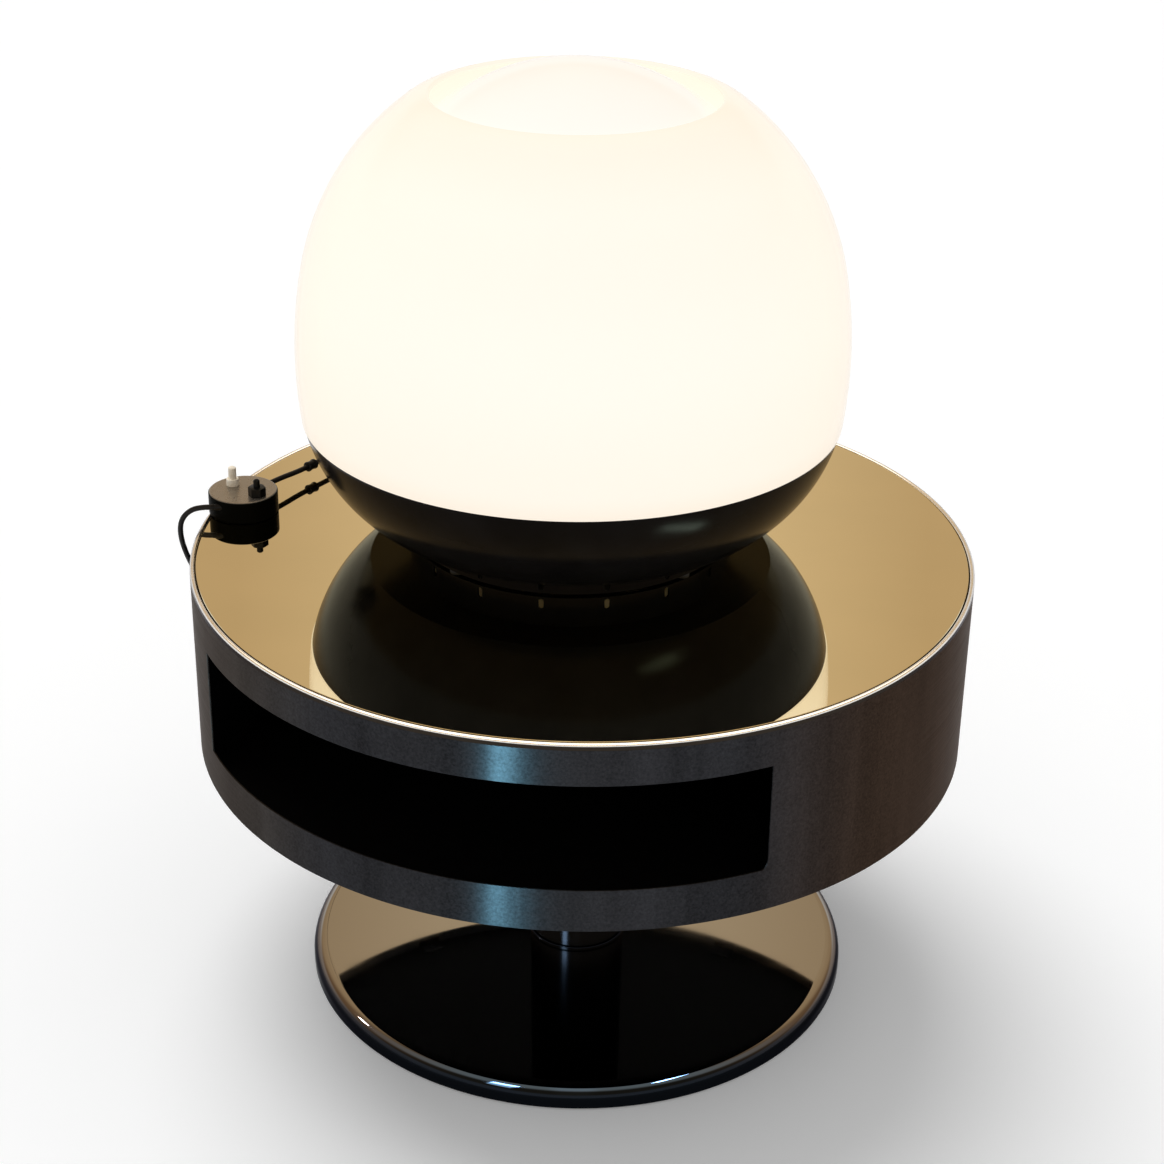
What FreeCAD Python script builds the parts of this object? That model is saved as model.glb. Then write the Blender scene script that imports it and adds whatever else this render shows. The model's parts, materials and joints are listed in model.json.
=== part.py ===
# Double-globe table lamp on a round mirror-topped drum table, with its two-button cord switch
#
# Millimetres, +Z up. The origin is on the floor, on the common axis of base disc, column and drum.
# The front, where the niche opens, is at -Y. The lamp stands behind the middle of the table top.

import FreeCAD
import Part
import math
import os

# Base disc and column
PAD_T = 2.0                 # floor pad under the whole base
BASE_R = 256.0              # rim of the base disc
COVER_H = 20.5              # cover's height
BASE_ROUND = 14.0           # quarter-round edge of the cover
SKIN_T = 1.5                # chromed sheet of the cover
PAD_INSET = 1.5             # pad's edge inside the cover's flat
WEIGHT_INSET = 47.0         # weight's edge inside the cover's flat
COLUMN_R = 45.0
COLUMN_WALL = 1.5
COLLAR_T = 1.7              # foot collar round the column
COLLAR_H = 3.0
COLLAR_ROUND = 1.2
END_PLATE_T = 5.0           # discs inside both ends of the column
ROD_R = 6.0                 # tie rod from base to drum
ROD_HOLE_GAP = 0.5
NUT_FLATS = 19.0
NUT_T = 6.0
NUT_POCKET_R = 14.0
NUT_POCKET_T = 8.0
WASHER_R = 15.0
WASHER_T = 2.0
THREAD_GAP = 0.05           # radial, screws and rod in their threads
SLIP_GAP = 0.2              # radial, fixed pieces pushed together

# Drum
TABLE_H = 432.0             # floor to the top of the trim ring
DRUM_R = 350.0
BAND_H = 174.0              # height of the drum, trim ring included
BAND_T = 1.5
FLOOR_BOARD_LIFT = 12.0     # floor board above the band's lower edge
FLOOR_BOARD_T = 16.0
TOP_BOARD_T = 18.0
MIRROR_T = 5.0
MIRROR_DROP = 0.6           # mirror face below the top of the trim ring
TRIM_W = 4.5                # rounded ring round the mirror
TRIM_LINE = 0.8             # dark line between mirror and trim ring
WINDOW_FROM = -66.0         # degrees from -Y towards +X
WINDOW_TO = 26.0
WINDOW_LIFT = 39.0          # its lower edge above the drum's
WINDOW_H = 97.0
WINDOW_ROUND = 9.0          # lower right corner
PANEL_T = 12.0              # niche sides and back
NICHE_SIDE_GAP = 2.0        # side panels outside the window's edges
NICHE_BACK_AT = 20.0        # back of the back panel, in front of the drum's axis
ANGLE_COUNT = 6             # angle pieces that hold the floor board in the band
ANGLE_LEG = 16.0
ANGLE_DROP = 9.0
ANGLE_T = 1.5
ANGLE_SPAN = 4.0            # degrees
WOOD_SCREW_R = 2.0
WOOD_SCREW_L = 12.0
WOOD_SCREW_HEAD_R = 4.0
WOOD_SCREW_HEAD_T = 1.8

# Lamp body, heights counted from the mirror
LAMP_X = -11.0
LAMP_Y = 47.5
LAMP_PAD_T = 2.0
LAMP_PAD_R = 6.5
LAMP_PAD_COUNT = 4
NECK_R = 147.0
SHEET_T = 1.5               # lacquered sheet of neck, bowl and chassis
NECK_FLANGE = 14.0          # inward flanges of the neck ring
SLOT_COUNT = 16
SLOT_W = 4.6
SLOT_LOW = 4.0
SLOT_HIGH = 13.5
SLOT_FIRST = -9.5           # degrees from -Y
BOWL_LOW = 29.5
BOWL_TOP = 115.6
BOWL_ARC_R = 138.5
BOWL_ARC_OFF = 105.0        # arc centre from the lamp's axis
BOWL_ARC_H = 143.0
BOWL_HOLE_R = 130.0
CHASSIS_R = 143.0
CHASSIS_T = 2.0
CHASSIS_HOLE_R = 8.0        # under the middle lampholder
VENT_COUNT = 6
VENT_R = 17.0
VENT_PCD_R = 60.0
NECK_SCREW_COUNT = 3
NECK_SCREW_R = 2.0
NECK_SCREW_AT = 137.0
NECK_SCREW_HEAD_R = 3.6
NECK_SCREW_HEAD_T = 2.2

# Outer glass: lip in the bowl, then three arcs up to the round opening
GLASS_T = 4.0
LIP_R = 235.4
LIP_LOW = 104.0
LIP_SEAM = 0.4              # glass shoulder above the bowl's rim
SEAT_T = 5.0                # rubber ring that the lip rests on
SEAT_INNER_R = 227.0
BELLY_R = 245.2
BELLY_H = 169.8
SIDE_ARC_R = 414.0
SIDE_ARC_TO = 11.0          # degrees above the belly
SHOULDER_ARC_R = 233.6
SHOULDER_ARC_TO = 53.25
RIM_ARC_R = 53.0
RIM_ARC_TO = 79.1

# Inner globe and its gallery
GLOBE_R = 187.0
GLOBE_H = 240.6
GLOBE_T = 3.5
GLOBE_NECK_R = 50.0
GLOBE_NECK_LOW = 48.0
GALLERY_GAP = 2.5
GALLERY_WALL = 1.5
GALLERY_H = 9.0
GALLERY_HOLE_R = 22.0
GALLERY_SCREW_COUNT = 3
GALLERY_SCREW_R = 1.5
GALLERY_SCREW_OUT = 5.0
GALLERY_SCREW_HEAD_R = 3.0
GALLERY_SCREW_HEAD_T = 4.0
TOUCH_GAP = 0.2             # screw tips to the glass
POST_R = 26.0
POST_WALL = 2.0

# Lampholders and bulbs
HOLDER_R = 19.5
HOLDER_H = 42.0
HOLDER_FLOOR = 14.0
CAP_R = 13.5
BULB_R = 30.0
BULB_L = 79.0               # glass only
BULB_CONE_TO = -35.0        # where the ball begins, in degrees below its middle
SIDE_LAMPS = (30.0, 150.0, 270.0)
SIDE_LAMP_AT = 165.0
SIDE_HOLDER_R = 12.0
SIDE_HOLDER_H = 32.0
SIDE_HOLDER_FLOOR = 10.0
SIDE_CAP_R = 6.8
SIDE_BULB_R = 22.5
SIDE_BULB_L = 53.0
BULB_GLASS_T = 1.0
CAP_GAP = 0.1
CAP_STAND = 1.0             # caps above the holders' mouths

# Wiring inside the lamp
INLET_ANGLE = 120.0         # degrees from +X round the lamp's axis
INLET_H = 16.0
INLET_GLAND_R = 5.0
INLET_GLAND_OUT = 13.0
INLET_GLAND_IN = 8.0
BLOCK_AT = 74.0             # terminal block, out from the lamp's axis
BLOCK_W = 36.0
BLOCK_D = 16.0
BLOCK_T = 12.0
LEAD_R = 1.5
LEAD_H = 4.0                # lead centres above the chassis
LEAD_LANE = 112.0           # ring on which the leads run to the side lampholders
LEAD_LANE_STEP = 6.0
LEAD_HOLE_R = 4.0
LEAD_STEP = 18.0            # degrees between the points of a lane

# Cord switch, heights counted from the mirror
PUCK_ANGLE = 168.12         # degrees from +X round the drum's axis
PUCK_RIM_IN = 29.3          # its axis inside the drum's rim
PUCK_R = 31.9
PUCK_TOP = 21.2
PUCK_WALL = 2.0
PUCK_CHAMFER = 1.4
PUCK_PAD_T = 1.0
PUCK_PAD_R = 4.0
PUCK_PADS = ((18.0, 14.0), (-8.0, 20.0), (2.0, -19.0))
PUCK_SCREWS = ((22.0, 4.0), (-22.0, -6.0))
PUCK_POST_R = 3.5
PUCK_SCREW_R = 1.3
PUCK_SCREW_L = 9.0
PUCK_SCREW_HEAD_R = 2.4
PUCK_SCREW_HEAD_T = 1.2
WHITE_X = -10.6
WHITE_Y = 9.8
WHITE_COLLAR_R = 6.1
WHITE_PLUNGER_R = 3.7
WHITE_PLUNGER_OUT = 12.0
BLACK_X = 14.8
BLACK_Y = -12.6
BLACK_COLLAR_FLATS = 14.2
BLACK_PLUNGER_R = 3.0
BLACK_PLUNGER_OUT = 8.0
WHITE_COLLAR_OUT = 6.7      # above the switch top
BLACK_COLLAR_OUT = 8.2
BUTTON_THREAD_R = 5.5       # collars' threaded shanks
BUTTON_SHANK = 4.0
BUTTON_GAP = 0.06           # radial running fit of the plungers
BUTTON_REST_GAP = 0.2       # plunger flange below the collar
BUTTON_FLANGE = 0.9
BUTTON_FLANGE_T = 2.0
BUTTON_DOME = 1.6
CELL_R = 6.4
CELL_BORE_R = 5.1
CELL_FLOOR = 1.5
SPRING_R = 3.2
SPRING_WALL = 0.6
TERMINAL_BOX = (12.0, 10.0, 8.0)
TERMINAL_AT = (4.0, -2.0)
CORD_H = 14.2               # cord centre at the switch
LINK_HEADING = 55.0         # degrees, towards the lamp
MAINS_HEADING = 183.0
MAINS_SIDE = 231.0          # degrees round the switch, where the mains cord leaves it aslant
SLEEVE_R = 3.1
SLEEVE_TIP_R = 2.7
SLEEVE_OUT = 6.0
SLEEVE_IN = 2.0

# Cord, its inline connector and the plug
CORD_R = 2.5
CORD_EXIT = 12.0            # straight runs out of sleeves, gland and connector
CONNECTOR_FROM_PUCK = 94.0   # middle of the connector from the switch's axis
CONNECTOR_RISE = 12.0       # above the mirror
CONNECTOR_R = 4.8
CONNECTOR_L = 11.5
CONNECTOR_CHAMFER = 0.8
COIL_ANGLE = 114.23         # degrees from +X round the drum's axis
COIL_RIM_OUT = 88.6         # its middle outside the drum's rim
COIL_R = 38.9               # outermost turn
COIL_PITCH = 5.75
COIL_TURNS = 3              # in each of the two layers
COIL_LAYER = 5.6            # from layer to layer
COIL_END = 5.0              # straight ends
PLUG_L = 34.0
PLUG_W = 26.0
PLUG_NECK_L = 22.0
PLUG_NECK_R = 4.2
PLUG_ROUND = 3.0
PIN_R = 2.4
PIN_L = 19.0
PIN_APART = 19.0

# Heights and radii that follow
BASE_TOP = PAD_T + COVER_H
DRUM_LOW = TABLE_H - BAND_H
WINDOW_LOW = DRUM_LOW + WINDOW_LIFT
FLOOR_BOARD_LOW = DRUM_LOW + FLOOR_BOARD_LIFT
FLOOR_BOARD_TOP = FLOOR_BOARD_LOW + FLOOR_BOARD_T
MIRROR_TOP = TABLE_H - MIRROR_DROP
MIRROR_LOW = MIRROR_TOP - MIRROR_T
TOP_BOARD_LOW = MIRROR_LOW - TOP_BOARD_T
BOARD_R = DRUM_R - BAND_T - SLIP_GAP
ROD_HOLE_R = ROD_R + ROD_HOLE_GAP
AXIS = (0.0, 0.0)
LAMP = (LAMP_X, LAMP_Y)
BOWL_FLOOR = MIRROR_TOP + BOWL_LOW + SHEET_T
CHASSIS_TOP = BOWL_FLOOR + CHASSIS_T
PUCK_FLOOR = MIRROR_TOP + PUCK_PAD_T
PUCK_COVER_TOP = PUCK_FLOOR + PUCK_WALL
PUCK_CEILING = MIRROR_TOP + PUCK_TOP - PUCK_WALL
CORD_Z = MIRROR_TOP + CORD_H
TRIM_QUARTERS = 4           # the trim ring's lengths, joined end to end


# Small builders

def vec(x, y, z):
    return FreeCAD.Vector(x, y, z)


def by_rim(degrees, out, z):
    # A point that is `out` outside the drum's rim
    radius = DRUM_R + out
    return vec(radius * math.cos(math.radians(degrees)), radius * math.sin(math.radians(degrees)), z)


def cylinder(at, radius, low, high):
    return Part.makeCylinder(radius, high - low, vec(at[0], at[1], low))


def tube(at, outer, inner, low, high):
    return cylinder(at, outer, low, high).cut(cylinder(at, inner, low - 1, high + 1))


def box(low, high):
    size = [b - a for a, b in zip(low, high)]
    return Part.makeBox(size[0], size[1], size[2], vec(*low))


def hexagon(at, flats, low, high):
    corner = flats / math.sqrt(3)
    points = [vec(at[0] + corner * math.cos(math.radians(60 * i)),
                  at[1] + corner * math.sin(math.radians(60 * i)), low) for i in range(7)]
    return Part.Face(Part.makePolygon(points)).extrude(vec(0, 0, high - low))


def turned(at, steps, angle=360):
    # A step is a point (r, z), or a pair of points for an arc: its middle and its end
    def place(point):
        return vec(at[0] + point[0], at[1], point[1])
    edges = []
    here = steps[0]
    for step in steps[1:] + steps[:1]:
        if isinstance(step[0], tuple):
            edges.append(Part.Arc(place(here), place(step[0]), place(step[1])).toShape())
            here = step[1]
        else:
            edges.append(Part.LineSegment(place(here), place(step)).toShape())
            here = step
    return Part.Face(Part.Wire(edges)).revolve(vec(at[0], at[1], 0), vec(0, 0, 1), angle)


def on_circle(centre, radius, degrees):
    turn = math.radians(degrees)
    return (centre[0] + radius * math.cos(turn), centre[1] + radius * math.sin(turn))


def arc_step(centre, radius, start, end):
    return (on_circle(centre, radius, (start + end) / 2), on_circle(centre, radius, end))


def arc_angle(centre, radius, z):
    return math.degrees(math.asin((z - centre[1]) / radius))


def around(shape, at, degrees):
    copy = shape.copy()
    copy.rotate(vec(at[0], at[1], 0), vec(0, 0, 1), degrees)
    return copy


def ring_of(shape, at, count, first=0.0):
    return [around(shape, at, first + i * 360 / count) for i in range(count)]


def rod_between(start, end, radius, end_radius=None):
    axis = end - start
    if end_radius is None:
        return Part.makeCylinder(radius, axis.Length, start, axis)
    return Part.makeCone(radius, end_radius, axis.Length, start, axis)


def group(shapes):
    return Part.makeCompound(shapes)


# Base and column

def base_cover():
    middle = (BASE_R - BASE_ROUND, BASE_TOP - BASE_ROUND)
    return turned(AXIS, [
        (ROD_HOLE_R, BASE_TOP),
        (BASE_R - BASE_ROUND, BASE_TOP),
        arc_step(middle, BASE_ROUND, 90, 0),
        (BASE_R, PAD_T),
        (BASE_R - SKIN_T, PAD_T),
        (BASE_R - SKIN_T, middle[1]),
        arc_step(middle, BASE_ROUND - SKIN_T, 0, 90),
        (ROD_HOLE_R, BASE_TOP - SKIN_T),
    ])


def base_weight():
    body = cylinder(AXIS, BASE_R - BASE_ROUND - WEIGHT_INSET, PAD_T, BASE_TOP - SKIN_T)
    body = body.cut(cylinder(AXIS, ROD_HOLE_R, 0, BASE_TOP))
    return body.cut(cylinder(AXIS, NUT_POCKET_R, 0, PAD_T + NUT_POCKET_T))


def column_collar():
    inner = COLUMN_R + SLIP_GAP
    outer = COLUMN_R + COLLAR_T
    top = BASE_TOP + COLLAR_H
    return turned(AXIS, [
        (inner, BASE_TOP),
        (outer, BASE_TOP),
        (outer, top - COLLAR_ROUND),
        arc_step((outer - COLLAR_ROUND, top - COLLAR_ROUND), COLLAR_ROUND, 0, 90),
        (inner, top),
    ])


def column_end_plates():
    plate_r = COLUMN_R - COLUMN_WALL - SLIP_GAP
    lows = (BASE_TOP, FLOOR_BOARD_LOW - END_PLATE_T)
    return group([tube(AXIS, plate_r, ROD_HOLE_R, low, low + END_PLATE_T) for low in lows])


def nut(low):
    return hexagon(AXIS, NUT_FLATS, low, low + NUT_T).cut(
        cylinder(AXIS, ROD_R + THREAD_GAP, low - 1, low + NUT_T + 1))


def tie_rod_pieces():
    lower_nut = PAD_T + NUT_POCKET_T - NUT_T
    upper_nut = FLOOR_BOARD_TOP + WASHER_T
    rod = cylinder(AXIS, ROD_R, PAD_T + THREAD_GAP, upper_nut + NUT_T + WASHER_T)
    washer = tube(AXIS, WASHER_R, ROD_HOLE_R, FLOOR_BOARD_TOP, upper_nut)
    return {
        "tie_rod": rod,
        "tie_rod_nuts": group([nut(lower_nut), nut(upper_nut)]),
        "tie_rod_washer": washer,
    }


def base_and_column():
    nodes = {
        "base_pad": cylinder(AXIS, BASE_R - BASE_ROUND - PAD_INSET, 0, PAD_T),
        "base_weight": base_weight(),
        "base_cover": base_cover(),
        "column": tube(AXIS, COLUMN_R, COLUMN_R - COLUMN_WALL, BASE_TOP, FLOOR_BOARD_LOW),
        "column_collar": column_collar(),
        "column_end_plates": column_end_plates(),
    }
    nodes.update(tie_rod_pieces())
    return nodes


# Drum

def window_cutter():
    # A wedge from the drum's axis out past the band, its lower right corner rounded
    span = WINDOW_TO - WINDOW_FROM
    wedge = Part.makeCylinder(DRUM_R + PANEL_T, WINDOW_H, vec(0, 0, WINDOW_LOW), vec(0, 0, 1), span)
    corner = [edge for edge in wedge.Edges
              if abs(edge.BoundBox.ZMax - WINDOW_LOW) < 0.01
              and edge.Length > DRUM_R and abs(edge.CenterOfMass.y) > 1.0
              and edge.Curve.TypeId == "Part::GeomLine"]
    wedge = wedge.makeFillet(WINDOW_ROUND, corner)
    return around(wedge, AXIS, WINDOW_FROM - 90)


def niche_panels():
    # Built with the window facing +X, then turned to face it
    inside = BOARD_R - SLIP_GAP
    half_span = math.radians((WINDOW_TO - WINDOW_FROM) / 2)
    half = (DRUM_R - BAND_T) * math.sin(half_span) + NICHE_SIDE_GAP
    front = NICHE_BACK_AT + PANEL_T
    limit = cylinder(AXIS, inside, FLOOR_BOARD_TOP, TOP_BOARD_LOW)
    back = box((NICHE_BACK_AT, -half, FLOOR_BOARD_TOP), (front, half, TOP_BOARD_LOW))
    right = box((NICHE_BACK_AT, half, FLOOR_BOARD_TOP), (DRUM_R, half + PANEL_T, TOP_BOARD_LOW))
    left = box((NICHE_BACK_AT, -half - PANEL_T, FLOOR_BOARD_TOP), (DRUM_R, -half, TOP_BOARD_LOW))
    facing = (WINDOW_FROM + WINDOW_TO) / 2 - 90
    return {
        "niche_back": around(back, AXIS, facing),
        "niche_right_side": around(right.common(limit), AXIS, facing),
        "niche_left_side": around(left.common(limit), AXIS, facing),
    }


def trim_ring():
    # A slim ring with a round top, from quarter turns joined end to end
    inner = DRUM_R - TRIM_W
    half = TRIM_W / 2
    middle = (DRUM_R - half, TABLE_H - half)
    quarter = turned(AXIS, [
        (inner, MIRROR_LOW),
        (DRUM_R, MIRROR_LOW),
        (DRUM_R, TABLE_H - half),
        arc_step(middle, half, 0, 90),
        arc_step(middle, half, 90, 180),
    ], 360 / TRIM_QUARTERS)
    quarters = ring_of(quarter, AXIS, TRIM_QUARTERS)
    return quarters[0].multiFuse(quarters[1:])


def floor_board_and_angles():
    # Angle pieces lie under the board and against the band, each with one screw up into the board
    outer = DRUM_R - BAND_T - SLIP_GAP
    angle = turned(AXIS, [
        (outer - ANGLE_LEG, FLOOR_BOARD_LOW),
        (outer - ANGLE_LEG, FLOOR_BOARD_LOW - ANGLE_T),
        (outer - ANGLE_T, FLOOR_BOARD_LOW - ANGLE_T),
        (outer - ANGLE_T, FLOOR_BOARD_LOW - ANGLE_DROP),
        (outer, FLOOR_BOARD_LOW - ANGLE_DROP),
        (outer, FLOOR_BOARD_LOW),
    ], ANGLE_SPAN)
    angle = around(angle, AXIS, -ANGLE_SPAN / 2)
    screw_at = (outer - ANGLE_LEG / 2, 0.0)
    head_top = FLOOR_BOARD_LOW - ANGLE_T
    tip = head_top + WOOD_SCREW_L
    hole = cylinder(screw_at, WOOD_SCREW_R + THREAD_GAP, head_top - 1, tip + THREAD_GAP)
    screw = cylinder(screw_at, WOOD_SCREW_R, head_top, tip)
    head = cylinder(screw_at, WOOD_SCREW_HEAD_R, head_top - WOOD_SCREW_HEAD_T, head_top)
    board = tube(AXIS, BOARD_R, ROD_HOLE_R, FLOOR_BOARD_LOW, FLOOR_BOARD_TOP)
    return {
        "drum_floor": board.cut(group(ring_of(hole, AXIS, ANGLE_COUNT))),
        "band_angles": group(ring_of(angle.cut(hole), AXIS, ANGLE_COUNT)),
        "band_angle_screws": group(ring_of(screw.fuse(head), AXIS, ANGLE_COUNT)),
    }


def drum():
    band = tube(AXIS, DRUM_R, DRUM_R - BAND_T, DRUM_LOW, MIRROR_LOW)
    nodes = {
        "drum_band": band.cut(window_cutter()),
        "top_board": cylinder(AXIS, BOARD_R, TOP_BOARD_LOW, MIRROR_LOW),
        "top_mirror": cylinder(AXIS, DRUM_R - TRIM_W - TRIM_LINE, MIRROR_LOW, MIRROR_TOP),
        "trim_ring": trim_ring(),
    }
    nodes.update(floor_board_and_angles())
    nodes.update(niche_panels())
    return nodes


# Lamp body

BOWL_CENTRE = (BOWL_ARC_OFF, MIRROR_TOP + BOWL_ARC_H)


def bowl():
    low = MIRROR_TOP + BOWL_LOW
    top = MIRROR_TOP + BOWL_TOP
    inner_r = BOWL_ARC_R - SHEET_T
    outer_from = arc_angle(BOWL_CENTRE, BOWL_ARC_R, low)
    outer_to = arc_angle(BOWL_CENTRE, BOWL_ARC_R, top)
    inner_from = arc_angle(BOWL_CENTRE, inner_r, top)
    inner_to = arc_angle(BOWL_CENTRE, inner_r, BOWL_FLOOR)
    shell = turned(LAMP, [
        (BOWL_HOLE_R, low),
        on_circle(BOWL_CENTRE, BOWL_ARC_R, outer_from),
        arc_step(BOWL_CENTRE, BOWL_ARC_R, outer_from, outer_to),
        on_circle(BOWL_CENTRE, inner_r, inner_from),
        arc_step(BOWL_CENTRE, inner_r, inner_from, inner_to),
        (BOWL_HOLE_R, BOWL_FLOOR),
    ])
    return shell.cut(group(neck_screw_holes()))


def glass_seat():
    radius = BOWL_ARC_R - SHEET_T - SLIP_GAP
    top = MIRROR_TOP + LIP_LOW
    top_angle = arc_angle(BOWL_CENTRE, radius, top)
    low_angle = arc_angle(BOWL_CENTRE, radius, top - SEAT_T)
    return turned(LAMP, [
        (SEAT_INNER_R, top),
        on_circle(BOWL_CENTRE, radius, top_angle),
        arc_step(BOWL_CENTRE, radius, top_angle, low_angle),
        (SEAT_INNER_R, top - SEAT_T),
    ])


def neck_screw_place():
    return (LAMP_X + NECK_SCREW_AT, LAMP_Y)


def neck_screw_holes():
    flange_low = MIRROR_TOP + BOWL_LOW - SHEET_T
    hole = cylinder(neck_screw_place(), NECK_SCREW_R + THREAD_GAP, flange_low - 1, CHASSIS_TOP + 1)
    return ring_of(hole, LAMP, NECK_SCREW_COUNT)


def neck_screws():
    head_top = MIRROR_TOP + BOWL_LOW - SHEET_T
    screw = cylinder(neck_screw_place(), NECK_SCREW_R, head_top, CHASSIS_TOP)
    head = cylinder(neck_screw_place(), NECK_SCREW_HEAD_R, head_top - NECK_SCREW_HEAD_T, head_top)
    return group(ring_of(screw.fuse(head), LAMP, NECK_SCREW_COUNT))


def vent_slot():
    # One upright slot with round ends, through the wall on the -Y side
    half = SLOT_W / 2
    low = MIRROR_TOP + SLOT_LOW + half
    high = MIRROR_TOP + SLOT_HIGH - half
    near = LAMP_Y - NECK_R - 1
    far = LAMP_Y - NECK_R + SHEET_T + 1
    slot = box((LAMP_X - half, near, low), (LAMP_X + half, far, high))
    for z in (low, high):
        slot = slot.fuse(rod_between(vec(LAMP_X, near, z), vec(LAMP_X, far, z), half))
    return slot.removeSplitter()


def neck_ring():
    low = MIRROR_TOP + LAMP_PAD_T
    top = MIRROR_TOP + BOWL_LOW
    inner = NECK_R - SHEET_T
    flange = NECK_R - NECK_FLANGE
    ring = turned(LAMP, [
        (flange, low),
        (NECK_R, low),
        (NECK_R, top),
        (flange, top),
        (flange, top - SHEET_T),
        (inner, top - SHEET_T),
        (inner, low + SHEET_T),
        (flange, low + SHEET_T),
    ])
    ring = ring.cut(group(ring_of(vent_slot(), LAMP, SLOT_COUNT, SLOT_FIRST)))
    ring = ring.cut(group(neck_screw_holes()))
    return ring.cut(inlet_rod(NECK_R - SHEET_T * 2, NECK_R + SHEET_T, INLET_GLAND_R + THREAD_GAP))


def lamp_pads():
    place = (LAMP_X + NECK_R - NECK_FLANGE / 2, LAMP_Y)
    pad = cylinder(place, LAMP_PAD_R, MIRROR_TOP, MIRROR_TOP + LAMP_PAD_T)
    return group(ring_of(pad, LAMP, LAMP_PAD_COUNT, 360 / LAMP_PAD_COUNT / 2))


def chassis_plate():
    plate = tube(LAMP, CHASSIS_R, CHASSIS_HOLE_R, BOWL_FLOOR, CHASSIS_TOP)
    vent = cylinder((LAMP_X + VENT_PCD_R, LAMP_Y), VENT_R, BOWL_FLOOR - 1, CHASSIS_TOP + 1)
    plate = plate.cut(group(ring_of(vent, LAMP, VENT_COUNT, 30)))
    supply = on_circle(LAMP, supply_hole_at(), INLET_ANGLE)
    plate = plate.cut(cylinder(supply, LEAD_HOLE_R, BOWL_FLOOR - 1, CHASSIS_TOP + 1))
    return plate.cut(group(neck_screw_holes()))


# Outer glass

def glass_centres():
    # Each arc's centre lies on the line through the last one's centre and end
    side = (BELLY_R - SIDE_ARC_R, MIRROR_TOP + BELLY_H)
    shoulder = on_circle(side, SIDE_ARC_R - SHOULDER_ARC_R, SIDE_ARC_TO)
    rim = on_circle(shoulder, SHOULDER_ARC_R - RIM_ARC_R, SHOULDER_ARC_TO)
    return side, shoulder, rim


def outer_glass():
    side, shoulder, rim = glass_centres()
    lip_low = MIRROR_TOP + LIP_LOW
    step = MIRROR_TOP + BOWL_TOP + LIP_SEAM
    outer_from = arc_angle(side, SIDE_ARC_R, step)
    inner_to = arc_angle(side, SIDE_ARC_R - GLASS_T, step + GLASS_T)
    rim_tip = on_circle(on_circle(rim, RIM_ARC_R - GLASS_T / 2, RIM_ARC_TO), GLASS_T / 2, RIM_ARC_TO + 90)
    return turned(LAMP, [
        (LIP_R - GLASS_T, lip_low),
        (LIP_R, lip_low),
        (LIP_R, step),
        on_circle(side, SIDE_ARC_R, outer_from),
        arc_step(side, SIDE_ARC_R, outer_from, SIDE_ARC_TO),
        arc_step(shoulder, SHOULDER_ARC_R, SIDE_ARC_TO, SHOULDER_ARC_TO),
        arc_step(rim, RIM_ARC_R, SHOULDER_ARC_TO, RIM_ARC_TO),
        (rim_tip, on_circle(rim, RIM_ARC_R - GLASS_T, RIM_ARC_TO)),
        arc_step(rim, RIM_ARC_R - GLASS_T, RIM_ARC_TO, SHOULDER_ARC_TO),
        arc_step(shoulder, SHOULDER_ARC_R - GLASS_T, SHOULDER_ARC_TO, SIDE_ARC_TO),
        arc_step(side, SIDE_ARC_R - GLASS_T, SIDE_ARC_TO, inner_to),
        (LIP_R - GLASS_T, step + GLASS_T),
    ])


# Inner globe, gallery and post

def inner_globe():
    middle = (0.0, MIRROR_TOP + GLOBE_H)
    inner_r = GLOBE_R - GLOBE_T
    neck_inner = GLOBE_NECK_R - GLOBE_T
    neck_low = MIRROR_TOP + GLOBE_NECK_LOW
    outer_from = -math.degrees(math.acos(GLOBE_NECK_R / GLOBE_R))
    inner_to = -math.degrees(math.acos(neck_inner / inner_r))
    return turned(LAMP, [
        (neck_inner, neck_low),
        (GLOBE_NECK_R, neck_low),
        on_circle(middle, GLOBE_R, outer_from),
        arc_step(middle, GLOBE_R, outer_from, 90),
        (0.0, middle[1] + inner_r),
        arc_step(middle, inner_r, 90, inner_to),
    ])


def gallery_screw_rods(radius):
    start = LAMP_X + GLOBE_NECK_R + TOUCH_GAP
    end = LAMP_X + GLOBE_NECK_R + GALLERY_GAP + GALLERY_WALL + GALLERY_SCREW_OUT
    z = MIRROR_TOP + GLOBE_NECK_LOW + GALLERY_H / 2
    return rod_between(vec(start, LAMP_Y, z), vec(end, LAMP_Y, z), radius)


def gallery_screws():
    shank = gallery_screw_rods(GALLERY_SCREW_R)
    end = shank.BoundBox.XMax
    z = MIRROR_TOP + GLOBE_NECK_LOW + GALLERY_H / 2
    head = rod_between(vec(end, LAMP_Y, z), vec(end + GALLERY_SCREW_HEAD_T, LAMP_Y, z), GALLERY_SCREW_HEAD_R)
    return group(ring_of(shank.fuse(head), LAMP, GALLERY_SCREW_COUNT, 90))


def gallery():
    floor_top = MIRROR_TOP + GLOBE_NECK_LOW
    inner = GLOBE_NECK_R + GALLERY_GAP
    cup = tube(LAMP, inner + GALLERY_WALL, GALLERY_HOLE_R, floor_top - GALLERY_WALL, floor_top + GALLERY_H)
    cup = cup.cut(cylinder(LAMP, inner, floor_top, floor_top + GALLERY_H + 1))
    hole = gallery_screw_rods(GALLERY_SCREW_R + THREAD_GAP)
    return cup.cut(group(ring_of(hole, LAMP, GALLERY_SCREW_COUNT, 90)))


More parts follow.
